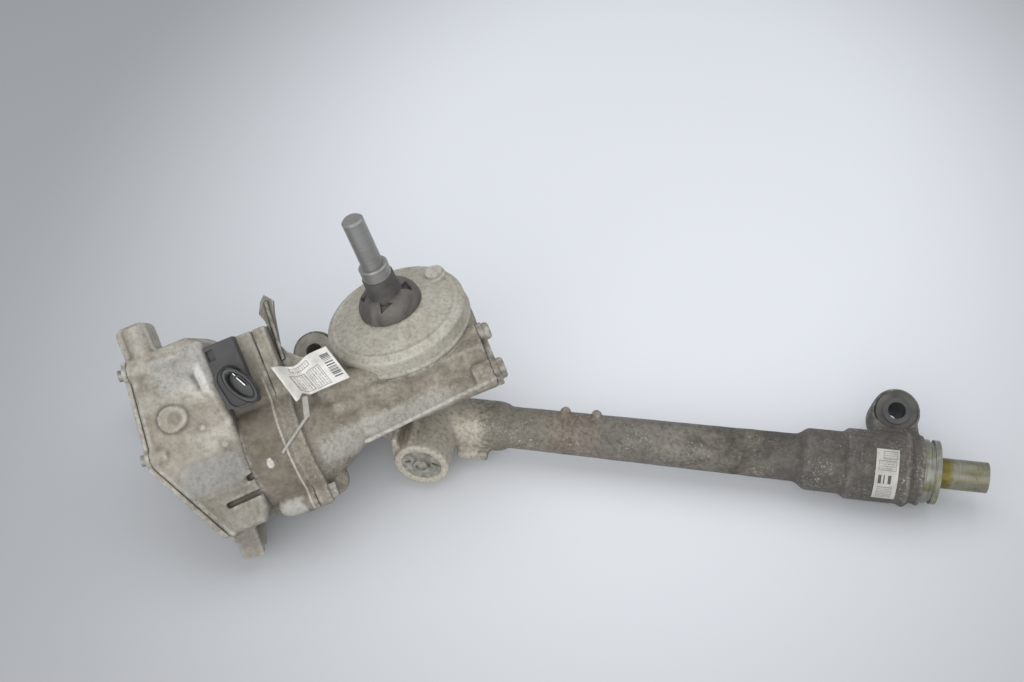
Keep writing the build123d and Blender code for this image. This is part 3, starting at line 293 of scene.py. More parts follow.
def block(name: str, place: Matrix, size: Place, bevel: float = 0.5, taper: float = 1.0) -> Piece:
    """A bevelled block standing on its plane.

    Args:
        name: the piece's name.
        place: axes at the middle of its foot.
        size: width, depth and height in mm.
        bevel: width of its softened edges in mm.
        taper: size of its top against its foot.

    Returns:
        The finished mesh.
    """
    deselect()
    bpy.ops.mesh.primitive_cube_add(size=1, location=(0, 0, 0.5))
    piece = named(name)
    mode("EDIT")
    select_faces(piece, lambda centre, normal: normal.z > 0.9)
    bpy.ops.transform.resize(value=(taper, taper, 1), center_override=(0, 0, 1))
    mode("OBJECT")
    piece.matrix_world = Matrix.Diagonal((*(v * MM for v in size), 1)) @ piece.matrix_world
    fix_size()
    soften(piece, bevel)
    return settle(piece, place)


def select_faces(piece: Piece, wanted: Callable[[Vector, Vector], bool]) -> None:
    """Select a mesh's faces in edit mode by their place and normal.

    Args:
        piece: the open mesh.
        wanted: a test of a face's centre and normal.
    """
    bpy.ops.mesh.select_mode(type="FACE")
    bpy.ops.mesh.select_all(action="DESELECT")
    mode("OBJECT")
    for face in piece.data.polygons:
        face.select = bool(wanted(face.center, face.normal))
    mode("EDIT")


def ball(name: str, place: Matrix, size: Place) -> Piece:
    """A smooth lump, for joining on to a casting or cutting out of it.

    Args:
        name: the piece's name.
        place: axes at its middle.
        size: its half axes in mm.

    Returns:
        The finished mesh.
    """
    deselect()
    bpy.ops.mesh.primitive_uv_sphere_add(segments=24, ring_count=12, radius=1)
    piece = named(name)
    piece.matrix_world = Matrix.Diagonal((*(v * MM for v in size), 1))
    fix_size()
    return settle(piece, place)


def rod(name: str, place: Matrix, start: Place, end: Place, radius: float) -> Piece:
    """A round-ended rod between two points, for a cast rib.

    Args:
        name: the piece's name.
        place: the axes that the two points are given on.
        start: one end.
        end: the other end.
        radius: its radius in mm.

    Returns:
        The finished mesh.
    """
    first = place @ mm(*start)
    way = place @ mm(*end) - first
    upright = way.to_track_quat("Z", "Y").to_matrix().to_4x4()
    length = way.length / MM
    cap = ((0.4, 0.9), (0.8, 0.6), (1.0, 0.0))  # radius and distance past the end, against the rod's radius
    foot = [(radius * wide, -radius * past) for wide, past in cap]
    head = [(radius * wide, length + radius * past) for wide, past in reversed(cap)]
    return turned(name, Matrix.Translation(first) @ upright, foot + head, sides=16)


def copy_of(node: str, name: str) -> Piece:
    """A merged copy of a frame solid, to be dressed.

    Args:
        node: the solid's name in the frame.
        name: the new piece's name.

    Returns:
        The copy, at the origin, with its own mesh.
    """
    source = frame["nodes"][node]
    pick(source)
    bpy.ops.object.duplicate(linked=False)
    piece = bpy.context.object
    for key in [k for k in piece.keys() if k.startswith("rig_")]:
        del piece[key]
    piece.parent = None
    piece.matrix_world = Matrix.Identity(4)
    piece.name = name
    piece.data.name = name
    piece.data.materials.clear()
    pick(piece)
    mode("EDIT")
    bpy.ops.mesh.select_all(action="SELECT")
    bpy.ops.mesh.remove_doubles(threshold=0.00001)
    bpy.ops.mesh.customdata_custom_splitnormals_clear()
    mode("OBJECT")
    return piece


def carve(piece: Piece, cutters: Iterable[Piece]) -> None:
    """Cut closed meshes out of a piece and delete them."""
    for cutter in cutters:
        apply(piece, "BOOLEAN", operation="DIFFERENCE", object=cutter, solver="EXACT")
        bpy.data.objects.remove(cutter)


def push(piece: Piece, axis: str, amount: float, weight: Callable[[float, float], float]) -> None:
    """Shift a sheet's points along one axis, each by its own share.

    Args:
        piece: a sheet whose map runs from nought to one each way.
        axis: X, Y or Z.
        amount: shift of a point with full share, mm.
        weight: share of a point by its place across and up the sheet.
    """
    mesh = piece.data
    shares: dict[int, float] = {}
    for loop, spot in zip(mesh.loops, mesh.uv_layers[0].data):
        shares[loop.vertex_index] = weight(*spot.uv)
    by_share = piece.vertex_groups.new(name="share")
    for index, share in shares.items():
        by_share.add([index], max(0.0, min(1.0, share)), "REPLACE")
    apply(piece, "DISPLACE", direction=axis, strength=amount * MM, mid_level=0.0, vertex_group="share")
    piece.vertex_groups.clear()


def sheet(name: str, size: tuple[float, float], steps: tuple[int, int]) -> Piece:
    """A flat sheet with a map that runs from nought to one each way.

    Args:
        name: the piece's name.
        size: width and height in mm.
        steps: facets across and up.

    Returns:
        The sheet, round the origin.
    """
    deselect()
    bpy.ops.mesh.primitive_grid_add(x_subdivisions=steps[0], y_subdivisions=steps[1], size=1, calc_uvs=True)
    piece = named(name)
    piece.scale = (size[0] * MM, size[1] * MM, 1)
    fix_size()
    piece.data.uv_layers[0].name = "print"
    return piece


def join(piece: Piece, others: Sequence[Piece]) -> None:
    """Join other meshes into a piece, which keeps its name.

    Args:
        piece: the mesh that stays.
        others: the meshes that go into it.
    """
    pick(piece)
    for other in others:
        other.select_set(True)
    if others:
        bpy.ops.object.join()


def relief(piece: Piece) -> None:
    """Note on each point how hollow or proud the surface is there, for dirt, and for wear with painted edge
    highlights.

    Args:
        piece: an evenly meshed piece.
    """
    rounds = 8  # how far the note is spread
    gain = 3.0  # how strongly it counts
    mesh = piece.data
    count = len(mesh.vertices)

    def per_point(key: str) -> np.ndarray:
        """A vector of every point."""
        values = np.empty(count * 3)
        mesh.vertices.foreach_get(key, values)
        return values.reshape(-1, 3)

    points, normals = per_point("co"), per_point("normal")
    ends = np.empty(len(mesh.edges) * 2, np.int64)
    mesh.edges.foreach_get("vertices", ends)
    one, two = ends.reshape(-1, 2).T
    near = np.maximum(np.bincount(one, minlength=count) + np.bincount(two, minlength=count), 1)

    def spread(values: np.ndarray) -> np.ndarray:
        """Mean of each point's neighbours."""
        return (np.bincount(one, values[two], count) + np.bincount(two, values[one], count)) / near

    mean = np.stack([spread(points[:, i]) for i in range(3)], 1)
    length = np.linalg.norm(points[one] - points[two], axis=1).mean()
    bend = ((mean - points) * normals).sum(1) / length
    for _ in range(rounds):
        bend = 0.5 * bend + 0.5 * spread(bend)
    values = np.clip(0.5 + gain * bend, 0, 1)
    layer = mesh.attributes.new("relief", "FLOAT", "POINT")
    layer.data.foreach_set("value", values.astype(np.float32))


def dress(piece: Piece, body: str, slot: str, material: Material, *stands_for: str) -> None:
    """Give a finished piece its material, body and the solids it stands for.

    Args:
        piece: the finished mesh.
        body: the frame's body that carries it.
        slot: the record's material slot; not used.
        material: its finish.
        *stands_for: frame solids that it replaces.
    """
    piece.data.materials.clear()
    piece.data.materials.append(material)
    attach(piece, body)
    if stands_for:
        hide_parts(*stands_for)
    LOG.info("%s on %s, %d faces", piece.name, body, len(piece.data.polygons))


# ------------ shaders
class Socket(Enum):
    """Kinds of group socket."""

    FLOAT = "NodeSocketFloat"
    COLOUR = "NodeSocketColor"
    VECTOR = "NodeSocketVector"


class Graph:
    """A node tree with short calls for adding and linking nodes."""

    def __init__(self, tree: Tree) -> None:
        """Take an empty tree."""
        self.tree = tree

    def add(self, kind: str, settings: dict | None = None, **inputs: object) -> Node:
        """Add a node.

        Args:
            kind: the node's class name without its ShaderNode.
            settings: the node's own properties.
            **inputs: values or sockets for its inputs, by name with _ for a space.

        Returns:
            The node.
        """
        node = self.tree.nodes.new("ShaderNode" + kind)
        for key, value in (settings or {}).items():
            setattr(node, key, value)
        for key, value in inputs.items():
            self.feed(node, key.replace("_", " "), value)
        return node

    def feed(self, node: Node, key: str, value: object) -> None:
        """Set or link one input of a node.

        Args:
            node: the node.
            key: the input's name, or # and its number.
            value: a value or a socket.
        """
        target = node.inputs[int(key[1:])] if key[:1] == "#" else node.inputs[key]
        if isinstance(value, Signal):
            self.tree.links.new(value, target)
        elif isinstance(value, tuple) and len(value) == 3 and target.type == "RGBA":
            target.default_value = (*value, 1)
        else:
            target.default_value = value

    def math(self, kind: str, one: object, two: object = 0.0, clamp: bool = False) -> Signal:
        """A math node's output.

        Args:
            kind: the operation.
            one: its first value.
            two: its second value.
            clamp: whether it stays between nought and one.

        Returns:
            The result's socket.
        """
        node = self.add("Math", {"operation": kind, "use_clamp": clamp})
        self.feed(node, "#0", one)
        self.feed(node, "#1", two)
        return node.outputs[0]

    def times(self, one: object, two: object, clamp: bool = False) -> Signal:
        """Two values multiplied."""
        return self.math("MULTIPLY", one, two, clamp)

    def plus(self, one: object, two: object) -> Signal:
        """Two values added."""
        return self.math("ADD", one, two)

    def between(self, value: object, low: float, high: float) -> Signal:
        """One where a value lies between two others, nought elsewhere."""
        return self.times(self.math("GREATER_THAN", value, low), self.math("LESS_THAN", value, high))

    def mix(self, share: object, one: object, two: object, blend: str = "MIX") -> Signal:
        """Lay a second colour over the first by a share.

        Args:
            share: how much of the second shows.
            one: the colour below.
            two: the colour on it.
            blend: how they are blended.

        Returns:
            The mixed colour's socket.
        """
        node = self.add("Mix", {"data_type": "RGBA", "blend_type": blend})
        for key, value in (("#0", share), ("#6", one), ("#7", two)):
            self.feed(node, key, value)
        return node.outputs[2]

    def span(self, value: object, low: float, high: float, to_low: float = 0.0,
             to_high: float = 1.0) -> Signal:
        """Map a value from one span to another, clamped."""
        node = self.add("MapRange", None, Value=value)
        for key, number in (("#1", low), ("#2", high), ("#3", to_low), ("#4", to_high)):
            self.feed(node, key, number)
        return node.outputs[0]

    def noise(self, where: object, scale: float, detail: float = 4.0, rough: float = 0.55,
              twist: float = 0.0) -> Signal:
        """A noise's value."""
        node = self.add("TexNoise", None, Vector=where, Scale=scale, Detail=detail,
                        Roughness=rough, Distortion=twist)
        return node.outputs[0]

    def spots(self, where: object, scale: float) -> Signal:
        """Distance to the nearest of many scattered points."""
        return self.add("TexVoronoi", None, Vector=where, Scale=scale).outputs["Distance"]


def group(name: str, inputs: dict[str, Socket], outputs: dict[str, Socket]) -> tuple[Tree, Graph, Node, Node]:
    """Start a shared effect as a node group.

    Args:
        name: the group's name.
        inputs: its input sockets.
        outputs: its output sockets.

    Returns:
        The group's tree, a graph on it, its input node and its output node.
    """
    tree = bpy.data.node_groups.new(name, "ShaderNodeTree")
    for label, kind in inputs.items():
        tree.interface.new_socket(label, in_out="INPUT", socket_type=kind.value)
    for label, kind in outputs.items():
        tree.interface.new_socket(label, in_out="OUTPUT", socket_type=kind.value)
    graph = Graph(tree)
    return tree, graph, tree.nodes.new("NodeGroupInput"), tree.nodes.new("NodeGroupOutput")


class Effects:
    """Effects that several finishes share, each built once as a node group."""

    def __init__(self) -> None:
        """Build the groups."""
        self.skin = self._skin()
        self.weather_and_highlight = self._weather_and_highlight()
        self.tool_marks = self._tool_marks()
        self.patch = self._patch()

    @staticmethod
    def _skin() -> Tree:
        """Height and specks of a cast or moulded skin."""
        tree, g, given, out = group(
            "cast_skin", {"Vector": Socket.VECTOR, "Grain": Socket.FLOAT},
            {"Height": Socket.FLOAT, "Specks": Socket.FLOAT, "Patches": Socket.FLOAT, "Mottle": Socket.FLOAT})
        where = given.outputs["Vector"]
        scale = given.outputs["Grain"]
        scaled = g.add("VectorMath", {"operation": "SCALE"}, Vector=where, Scale=scale).outputs[0]
        grain = g.noise(scaled, 620, 5, 0.65)
        pits = g.span(g.spots(scaled, 420), 0.0, 0.35)
        coarse = g.noise(where, 90, 3, 0.5)
        height = g.plus(g.times(grain, 0.6), g.times(pits, 0.25))
        g.feed(out, "Height", g.plus(height, g.times(coarse, 0.8)))
        specks = g.span(g.noise(scaled, 480, 6, 0.75), 0.56, 0.70)
        area = g.span(g.noise(where, 38, 3, 0.6), 0.42, 0.62)
        g.feed(out, "Specks", g.times(specks, area))
        broad = g.noise(where, 26, 6, 0.62, 0.6)
        middle = g.noise(where, 110, 4, 0.6)
        both = g.plus(g.times(broad, 0.55), g.times(middle, 0.45))
        g.feed(out, "Patches", g.span(both, 0.40, 0.60))
        g.feed(out, "Mottle", g.span(g.noise(scaled, 300, 5, 0.7), 0.44, 0.66))
        return tree

    @staticmethod
    def _patch() -> Tree:
        """Mask of one rounded area with a ragged edge; each axis is divided by its half size."""
        vectors = {key: Socket.VECTOR for key in ("Vector", "Place", "Across", "Up", "Out")}
        tree, g, given, out = group("patch", vectors | {"Rag": Socket.FLOAT}, {"Mask": Socket.FLOAT})
        off = g.add("VectorMath", {"operation": "SUBTRACT"})
        g.feed(off, "#0", given.outputs["Vector"])
        g.feed(off, "#1", given.outputs["Place"])
        total = 0.0
        for axis in ("Across", "Up", "Out"):
            dot = g.add("VectorMath", {"operation": "DOT_PRODUCT"})
            g.feed(dot, "#0", off.outputs[0])
            g.feed(dot, "#1", given.outputs[axis])
            square = g.times(dot.outputs["Value"], dot.outputs["Value"])
            total = g.plus(total, g.times(square, square))
        reach = g.math("POWER", total, 0.25)
        uneven = g.math("SUBTRACT", g.noise(given.outputs["Vector"], 150, 5, 0.65), 0.5)
        ragged = g.times(uneven, given.outputs["Rag"])
        g.feed(out, "Mask", g.span(g.plus(reach, ragged), 1.15, 0.8))
        return tree

    @staticmethod
    def _weather_and_highlight() -> Tree:
        """Grime that lies in hollows, and a lighter colour on proud edges that is both wear and painted highlight.
        """
        tree, g, given, out = group(
            "weathering_and_highlights", {"Vector": Socket.VECTOR, "Relief": Socket.FLOAT, "Base": Socket.COLOUR,
                           "Grime": Socket.COLOUR, "Worn": Socket.COLOUR, "Dirt": Socket.FLOAT,
                           "Wear": Socket.FLOAT}, {"Colour": Socket.COLOUR})
        where = given.outputs["Vector"]
        hollow = g.span(given.outputs["Relief"], 0.53, 0.80)
        mark = g.span(g.noise(where, 55, 5, 0.65), 0.35, 0.62)
        dirt = g.times(g.plus(hollow, g.times(mark, 0.25)), given.outputs["Dirt"], True)
        # Proud edges get a lighter colour: wear, and a painted highlight along them.
        proud = g.span(given.outputs["Relief"], 0.46, 0.20)
        patchy = g.span(g.noise(where, 160, 5, 0.7), 0.40, 0.62)
        worn = g.times(g.times(proud, patchy), given.outputs["Wear"], True)
        colour = g.mix(dirt, given.outputs["Base"], given.outputs["Grime"])
        g.feed(out, "Colour", g.mix(worn, colour, given.outputs["Worn"]))
        return tree

    @staticmethod
    def _tool_marks() -> Tree:
        """Fine rings round an axis, left by turning or grinding."""
        tree, g, given, out = group(
            "tool_marks", {"Vector": Socket.VECTOR}, {"Height": Socket.FLOAT, "Streaks": Socket.FLOAT})
        stretched = g.add("Mapping", None, Vector=given.outputs["Vector"], Scale=(30, 30, 2600)).outputs[0]
        rings = g.noise(stretched, 1.0, 3, 0.6)
        g.feed(out, "Height", rings)
        g.feed(out, "Streaks", g.span(rings, 0.35, 0.7))
        return tree


class Surface(Graph):
    """A new material's node tree, with its shader, its coordinates and the shared effects."""

    def __init__(self, name: str, effects: Effects | None = None) -> None:
        """Start the material.

        Args:
            name: the material's name.
            effects: the shared effects, if it needs any.
        """
        self.material = bpy.data.materials.new(name)
        self.material.use_nodes = True
        super().__init__(self.material.node_tree)
        self.shader = self.tree.nodes["Principled BSDF"]
        self.where = self.add("TexCoord").outputs["Object"]
        self.effects = effects

    def effect(self, tree: Tree, **inputs: object) -> Node:
        """Put a shared effect on the surface, by default at its own coordinates.

        Args:
            tree: the effect's group.
            **inputs: values or sockets for its inputs.

        Returns:
            The effect's node.
        """
        node = self.tree.nodes.new("ShaderNodeGroup")
        node.node_tree = tree
        for key, value in ({"Vector": self.where} | inputs).items():
            self.feed(node, key, value)
        return node

    def shade(self, **inputs: object) -> None:
        """Feed the shader's inputs, by name with _ for a space."""
        for key, value in inputs.items():
            self.feed(self.shader, key.replace("_", " "), value)

    def bump(self, height: Signal, strength: float, distance: float) -> None:
        """Give the shader its fine height."""
        node = self.add("Bump", None, Strength=strength, Distance=distance, Height=height)
        self.shade(Normal=node.outputs[0])


@dataclass(frozen=True)
class StainAndLight:
    """A rounded area of another colour on a surface, with a ragged edge; used for real stains and for painted
    shade, shadow and highlights.
    """

    place: Matrix
    half: Place
    colour: Colour
    share: float = 0.6
    rag: float = 0.7

    def over(self, g: Surface, base: Signal) -> Signal:
        """Lay the patch over a colour.

        Args:
            g: the stained surface.
            base: the colour below.

        Returns:
            The colour with the patch laid over it.
        """
        ways = self.place.to_3x3().transposed()
        across, up, out = (tuple(way / (half * MM)) for way, half in zip(ways, self.half))
        mask = g.effect(g.effects.patch, Place=tuple(self.place.translation), Across=across, Up=up, Out=out,
                        Rag=self.rag).outputs["Mask"]
        return g.mix(g.times(mask, self.share), base, self.colour)


@dataclass(frozen=True)
class Finish:
    """What every finish has; each kind says how it paints its shader."""

    name: str

    def build(self, effects: Effects) -> Material:
        """Make the material.

        Args:
            effects: the shared effects.

        Returns:
            The material.
        """
        surface = Surface(self.name, effects)
        self.paint(surface)
        return surface.material

    def paint(self, g: Surface) -> None:
        """Feed the shader of a surface."""
        raise NotImplementedError


@dataclass(frozen=True)
class CastFinish(Finish):
    """Weathered casting: dull oxide, brown road grime, pale specks and a rough skin."""

    light: Colour = (0.40, 0.37, 0.31)
    dark: Colour = (0.24, 0.21, 0.165)
    speck: Colour = (0.50, 0.48, 0.43)
    grime: Colour = (0.10, 0.085, 0.065)
    # colour of proud edges: wear and painted highlight
    worn: Colour = (0.52, 0.50, 0.46)
    specks: float = 0.5
    dirt: float = 0.8
    # share of that colour on proud edges
    wear: float = 0.7
    grain: float = 1.0
    bump: float = 0.35
    rough: tuple[float, float] = (0.52, 0.78)
    metallic: float = 0.15
    mottle: float = 0.5
    mottled: Colour = (0.42, 0.395, 0.36)  # what a mottled place is multiplied by
    stains_and_light: tuple[StainAndLight, ...] = ()

    def paint(self, g: Surface) -> None:
        """A patchy skin with its stains, painted shade and painted highlights, specks, grime, and wear with
        painted edge highlights.

        Args:
            g: the surface's tree.
        """
        skin = g.effect(g.effects.skin, Grain=self.grain)
        base = g.mix(skin.outputs["Patches"], self.dark, self.light)
        for mark in self.stains_and_light:
            base = mark.over(g, base)
        base = g.mix(g.times(skin.outputs["Mottle"], self.mottle), base, self.mottled, "MULTIPLY")
        base = g.mix(g.times(skin.outputs["Specks"], self.specks), base, self.speck)
        note = g.add("Attribute", {"attribute_name": "relief"}).outputs["Fac"]
        weather_and_highlight = g.effect(g.effects.weather_and_highlight, Relief=note, Base=base, Grime=self.grime, Worn=self.worn,
                           Dirt=self.dirt, Wear=self.wear)
        smooth, rough = self.rough
        g.shade(Base_Color=weather_and_highlight.outputs["Colour"], Metallic=self.metallic,
                Roughness=g.span(skin.outputs["Patches"], 0, 1, rough, smooth))
        g.bump(skin.outputs["Height"], self.bump, 0.0006)


@dataclass(frozen=True)
class SteelFinish(Finish):
    """Ground or turned steel with rings, a stain and a film on it."""

    light: Colour = (0.36, 0.35, 0.33)
    dark: Colour = (0.20, 0.19, 0.17)
    film: Colour = (0.12, 0.10, 0.06)
    film_share: float = 0.3
    axis: tuple[float, float, float] = (0.0, 0.0, 1.0)
    rough: tuple[float, float] = (0.3, 0.5)
    metallic: float = 0.75
    bump: float = 0.12
    stains_and_light: tuple[StainAndLight, ...] = ()

    def paint(self, g: Surface) -> None:
        """Rings square to the axis, with the film and the stains over them.

        Args:
            g: the surface's tree.
        """
        upright = Vector(self.axis).rotation_difference(Vector((0, 0, 1))).to_euler()
        along = g.add("Mapping", None, Vector=g.where, Rotation=tuple(upright)).outputs[0]
        marks = g.effect(g.effects.tool_marks, Vector=along)
        base = g.mix(marks.outputs["Streaks"], self.dark, self.light)
        patch = g.span(g.noise(g.where, 70, 6, 0.65, 0.8), 0.45, 0.68)
        base = g.mix(g.times(patch, self.film_share), base, self.film)
        for mark in self.stains_and_light:
            base = mark.over(g, base)
        g.shade(Base_Color=base, Metallic=self.metallic, Roughness=g.span(patch, 0, 1, *self.rough))
        g.bump(marks.outputs["Height"], self.bump, 0.0002)


@dataclass(frozen=True)
class MouldedFinish(Finish):
    """Moulded plastic or rubber under dust."""

    colour: Colour = (0.03, 0.03, 0.03)
    dust: Colour = (0.16, 0.15, 0.13)
    dusty: float = 0.5
    rough: tuple[float, float] = (0.42, 0.75)
    grain: float = 1.4
    bump: float = 0.12
    coat: float = 0.0
    clear: float = 1.0

    def paint(self, g: Surface) -> None:
        """The plain colour under patches of dust.

        Args:
            g: the surface's tree.
        """
        skin = g.effect(g.effects.skin, Grain=self.grain)
        share = g.times(g.span(g.noise(g.where, 60, 6, 0.65, 0.5), 0.36, 0.66), self.dusty)
        g.shade(Base_Color=g.mix(share, self.colour, self.dust), Coat_Weight=self.coat, Alpha=self.clear,
                Roughness=g.span(share, 0, max(self.dusty, 0.01), *self.rough))
        g.bump(skin.outputs["Height"], self.bump, 0.0004)


@dataclass(frozen=True)
class PaperFinish(Finish):
    """White paper with a generic print of ruled boxes and bars on its UV map."""

    bars: Box
    boxes: tuple[Box, ...]
    pitch: float  # of the bars, over the whole height
    rows: float = 22.0  # over the whole width
    ink: Colour = (0.05, 0.05, 0.06)
    paper: Colour = (0.64, 0.615, 0.565)
    soil: float = 0.72  # tone of soiled paper
    strength: float = 0.93  # of the ink
    rule: float = 0.7  # tone of a box's frame
    words: float = 0.75  # tone of its rows

    def paint(self, g: Surface) -> None:
        """The print over soiled paper.

        Args:
            g: the surface's tree.
        """
        sheet_map = g.add("UVMap", {"uv_map": "print"}).outputs[0]
        u, v, _ = g.add("SeparateXYZ", None, Vector=sheet_map).outputs

        def inside(box: Box, rim: tuple[float, float] = (0.0, 0.0)) -> Signal:
            """One inside a box of the sheet, less a rim across and up, and nought outside."""
            left, right, low, high = box
            return g.times(g.between(u, left + rim[0], right - rim[0]),
                           g.between(v, low + rim[1], high - rim[1]))

        code = g.add("TexNoise", {"noise_dimensions": "1D"}, W=g.times(v, self.pitch), Scale=1.0,
                     Detail=0.0)
        mask = g.times(g.math("GREATER_THAN", code.outputs[0], 0.5), inside(self.bars))
        row = g.math("FRACT", g.times(u, self.rows))
        text_row = g.between(row, 0.3, 0.8)
        dashes = g.add("TexNoise", {"noise_dimensions": "2D"}, Vector=sheet_map, Scale=46.0, Detail=2.0)
        words = g.times(text_row, g.math("GREATER_THAN", dashes.outputs[0], 0.5))
        for box in self.boxes:
            core = inside(box, (0.012, 0.02))
            frame_line = g.times(g.math("SUBTRACT", inside(box), core), self.rule)
            text = g.times(g.times(words, core), self.words)
            mask = g.math("MAXIMUM", mask, g.math("MAXIMUM", frame_line, text), True)
        dirty = tuple(self.soil * tone for tone in self.paper)
        soiled = g.mix(g.span(g.noise(g.where, 110, 5, 0.65), 0.42, 0.72), self.paper, dirty)
        g.shade(Base_Color=g.mix(g.times(mask, self.strength), soiled, self.ink), Roughness=0.55)


class Finishes:
    """Every finish of the gear, built once."""

    def __init__(self, effects: Effects) -> None:
        """Build the materials."""
        made = (*self._castings(), *self._metals(), *self._mouldings(), *self._papers())
        self.by_name = {finish.name: finish.build(effects) for finish in made}

    def __getitem__(self, name: str) -> Material:
        """A material by its finish's name."""
        return self.by_name[name]

    @staticmethod
    def _castings() -> tuple[CastFinish, ...]:
        """Cast and plated skins, each with the stains, painted shade and painted highlights of its own places."""

        def on_unit(x: float, y: float, z: float) -> Matrix:
            """A place on the control unit's broad face."""
            return PLAN.broad_face @ at(x, y, z)

        case_stains_and_shade = (
            StainAndLight(on_unit(145, -14, 30), (60, 12, 30), (0.46, 0.445, 0.40), 0.7),
            # painted shade over the gear case's flange face at the joint with the motor
            StainAndLight(PLAN.motor_frame(101), (60, 60, 9), (0.235, 0.205, 0.16), 0.75),
            # painted shadow of the paper tag on the case face below it
            StainAndLight(on_unit(123, 20, 30), (22, 20, 40), (0.24, 0.205, 0.155), 0.4),
        )
        unit_stains_and_highlight = (
            StainAndLight(on_unit(14, -24, 34), (36, 42, 26), (0.20, 0.183, 0.15), 0.7),
            StainAndLight(on_unit(12, 3, 42), (26, 12, 9), (0.27, 0.275, 0.268), 0.6, 0.5),
            StainAndLight(on_unit(22, 86, 42), (26, 17, 12), (0.43, 0.425, 0.41), 0.6),
            StainAndLight(on_unit(-16, 40, 42), (18, 24, 12), (0.25, 0.215, 0.165), 0.55),
            StainAndLight(on_unit(24, 48, 42), (20, 10, 12), (0.24, 0.205, 0.16), 0.5),
            # painted highlight along the top of the right-hand ridge
            StainAndLight(on_unit(30, 74, 46), (3.4, 12, 6), (0.62, 0.61, 0.58), 0.8, 0.6),
        )
        motor_stains_and_highlight = (
            # painted highlight: a thin light ring along the ridge at the motor's joint
            StainAndLight(PLAN.motor_frame(113.8), (60, 60, 0.9), (0.50, 0.47, 0.41), 0.8, 0.5),
            StainAndLight(on_unit(55, -6, 40), (2.4, 4.0, 14), (0.62, 0.60, 0.56), 0.9, 2.0),
            StainAndLight(on_unit(55, -46, 20), (12, 8, 16), (0.44, 0.43, 0.40), 0.75),
            StainAndLight(on_unit(66, 96, 20), (14, 14, 26), (0.36, 0.33, 0.28), 0.6),
        )
        housing_stains_and_light = (
            StainAndLight(PLAN.rack_frame(170), (40, 30, 50), (0.26, 0.245, 0.22), 0.3, 1.6),
            StainAndLight(PLAN.rack_frame(120), (40, 40, 22), (0.20, 0.15, 0.115), 0.45, 1.2),
            StainAndLight(PLAN.rack_frame(350), (60, 60, 75), (0.078, 0.071, 0.064), 0.65),
            StainAndLight(PLAN.rack_frame(62), (60, 60, 46), (0.26, 0.235, 0.185), 0.5),
            # painted light: the rack guide's boss is coloured lighter where the gear case shades it
            StainAndLight(PLAN.yoke_frame(26), (46, 36, 44), (0.50, 0.455, 0.375), 0.95),
        )
        return (
            CastFinish("aluminium_case", (0.34, 0.308, 0.25), (0.185, 0.158, 0.12), specks=0.85,
                       speck=(0.60, 0.58, 0.53), mottle=0.6, bump=0.6, stains_and_light=case_stains_and_shade),
            CastFinish("aluminium_unit", (0.44, 0.41, 0.355), (0.27, 0.24, 0.19), specks=0.55,
                       bump=0.5, stains_and_light=unit_stains_and_highlight),
            CastFinish("aluminium_motor", (0.245, 0.215, 0.17), (0.15, 0.126, 0.095), specks=0.45,
                       speck=(0.38, 0.36, 0.31), mottle=0.45, bump=0.5, stains_and_light=motor_stains_and_highlight),
            # Its full wear share paints a highlight on the cover's rounded rim along with its wear.
            CastFinish("aluminium_cover", (0.50, 0.47, 0.40), (0.39, 0.36, 0.295), specks=0.7,
                       speck=(0.60, 0.58, 0.53), dirt=0.7, mottle=0.55, wear=1.0, bump=0.5),
            CastFinish("housing_skin", (0.17, 0.149, 0.118), (0.078, 0.068, 0.055), specks=1.0,
                       speck=(0.55, 0.55, 0.52), grime=(0.055, 0.047, 0.037), worn=(0.36, 0.34, 0.30),
                       mottle=0.7, dirt=0.45, wear=0.45, bump=0.55, stains_and_light=housing_stains_and_light),
            CastFinish("zinc_plate", (0.29, 0.285, 0.24), (0.165, 0.16, 0.125), specks=0.3,
                       grain=2.0, bump=0.15, rough=(0.35, 0.6), metallic=0.55),
        )

    @staticmethod
    def _metals() -> tuple[SteelFinish, ...]:
        """Ground, turned and stacked steel, with the grease on the bar."""
        worm = tuple(PLAN.motor)
        eye = tuple(Vector(mount("bush_right")["axis"]))
        grease = StainAndLight(PLAN.rack_frame(415), (30, 30, 12), (0.13, 0.105, 0.006), 0.95, 1.3)
        return (
            SteelFinish("bearing_steel", film_share=0.1),
            SteelFinish("shaft_steel", (0.31, 0.305, 0.295), (0.245, 0.24, 0.23), (0.14, 0.12, 0.095),
                        axis=tuple(PLAN.pinion), rough=(0.34, 0.5), metallic=0.5, bump=0.04),
            SteelFinish("worm_steel", axis=worm, film_share=0.1),
            SteelFinish("greased_bar", (0.25, 0.245, 0.20), (0.15, 0.14, 0.105), (0.10, 0.085, 0.02), 0.8,
                        (1, 0, 0), rough=(0.42, 0.22), metallic=0.4, bump=0.05, stains_and_light=(grease,)),
            SteelFinish("ring_steel", (0.30, 0.30, 0.265), (0.13, 0.13, 0.105), (0.105, 0.10, 0.03), 0.8,
                        (1, 0, 0), rough=(0.34, 0.5), metallic=0.45),
            SteelFinish("dull_sleeve", (0.085, 0.085, 0.083), (0.05, 0.05, 0.05), (0.13, 0.125, 0.11), 0.6,
                        eye, rough=(0.5, 0.7), metallic=0.3),
            SteelFinish("sheet_laminate", (0.16, 0.16, 0.165), (0.08, 0.08, 0.085), axis=worm),
            SteelFinish("bright_pins", (0.80, 0.79, 0.76), (0.62, 0.61, 0.58), film_share=0.05),
        )

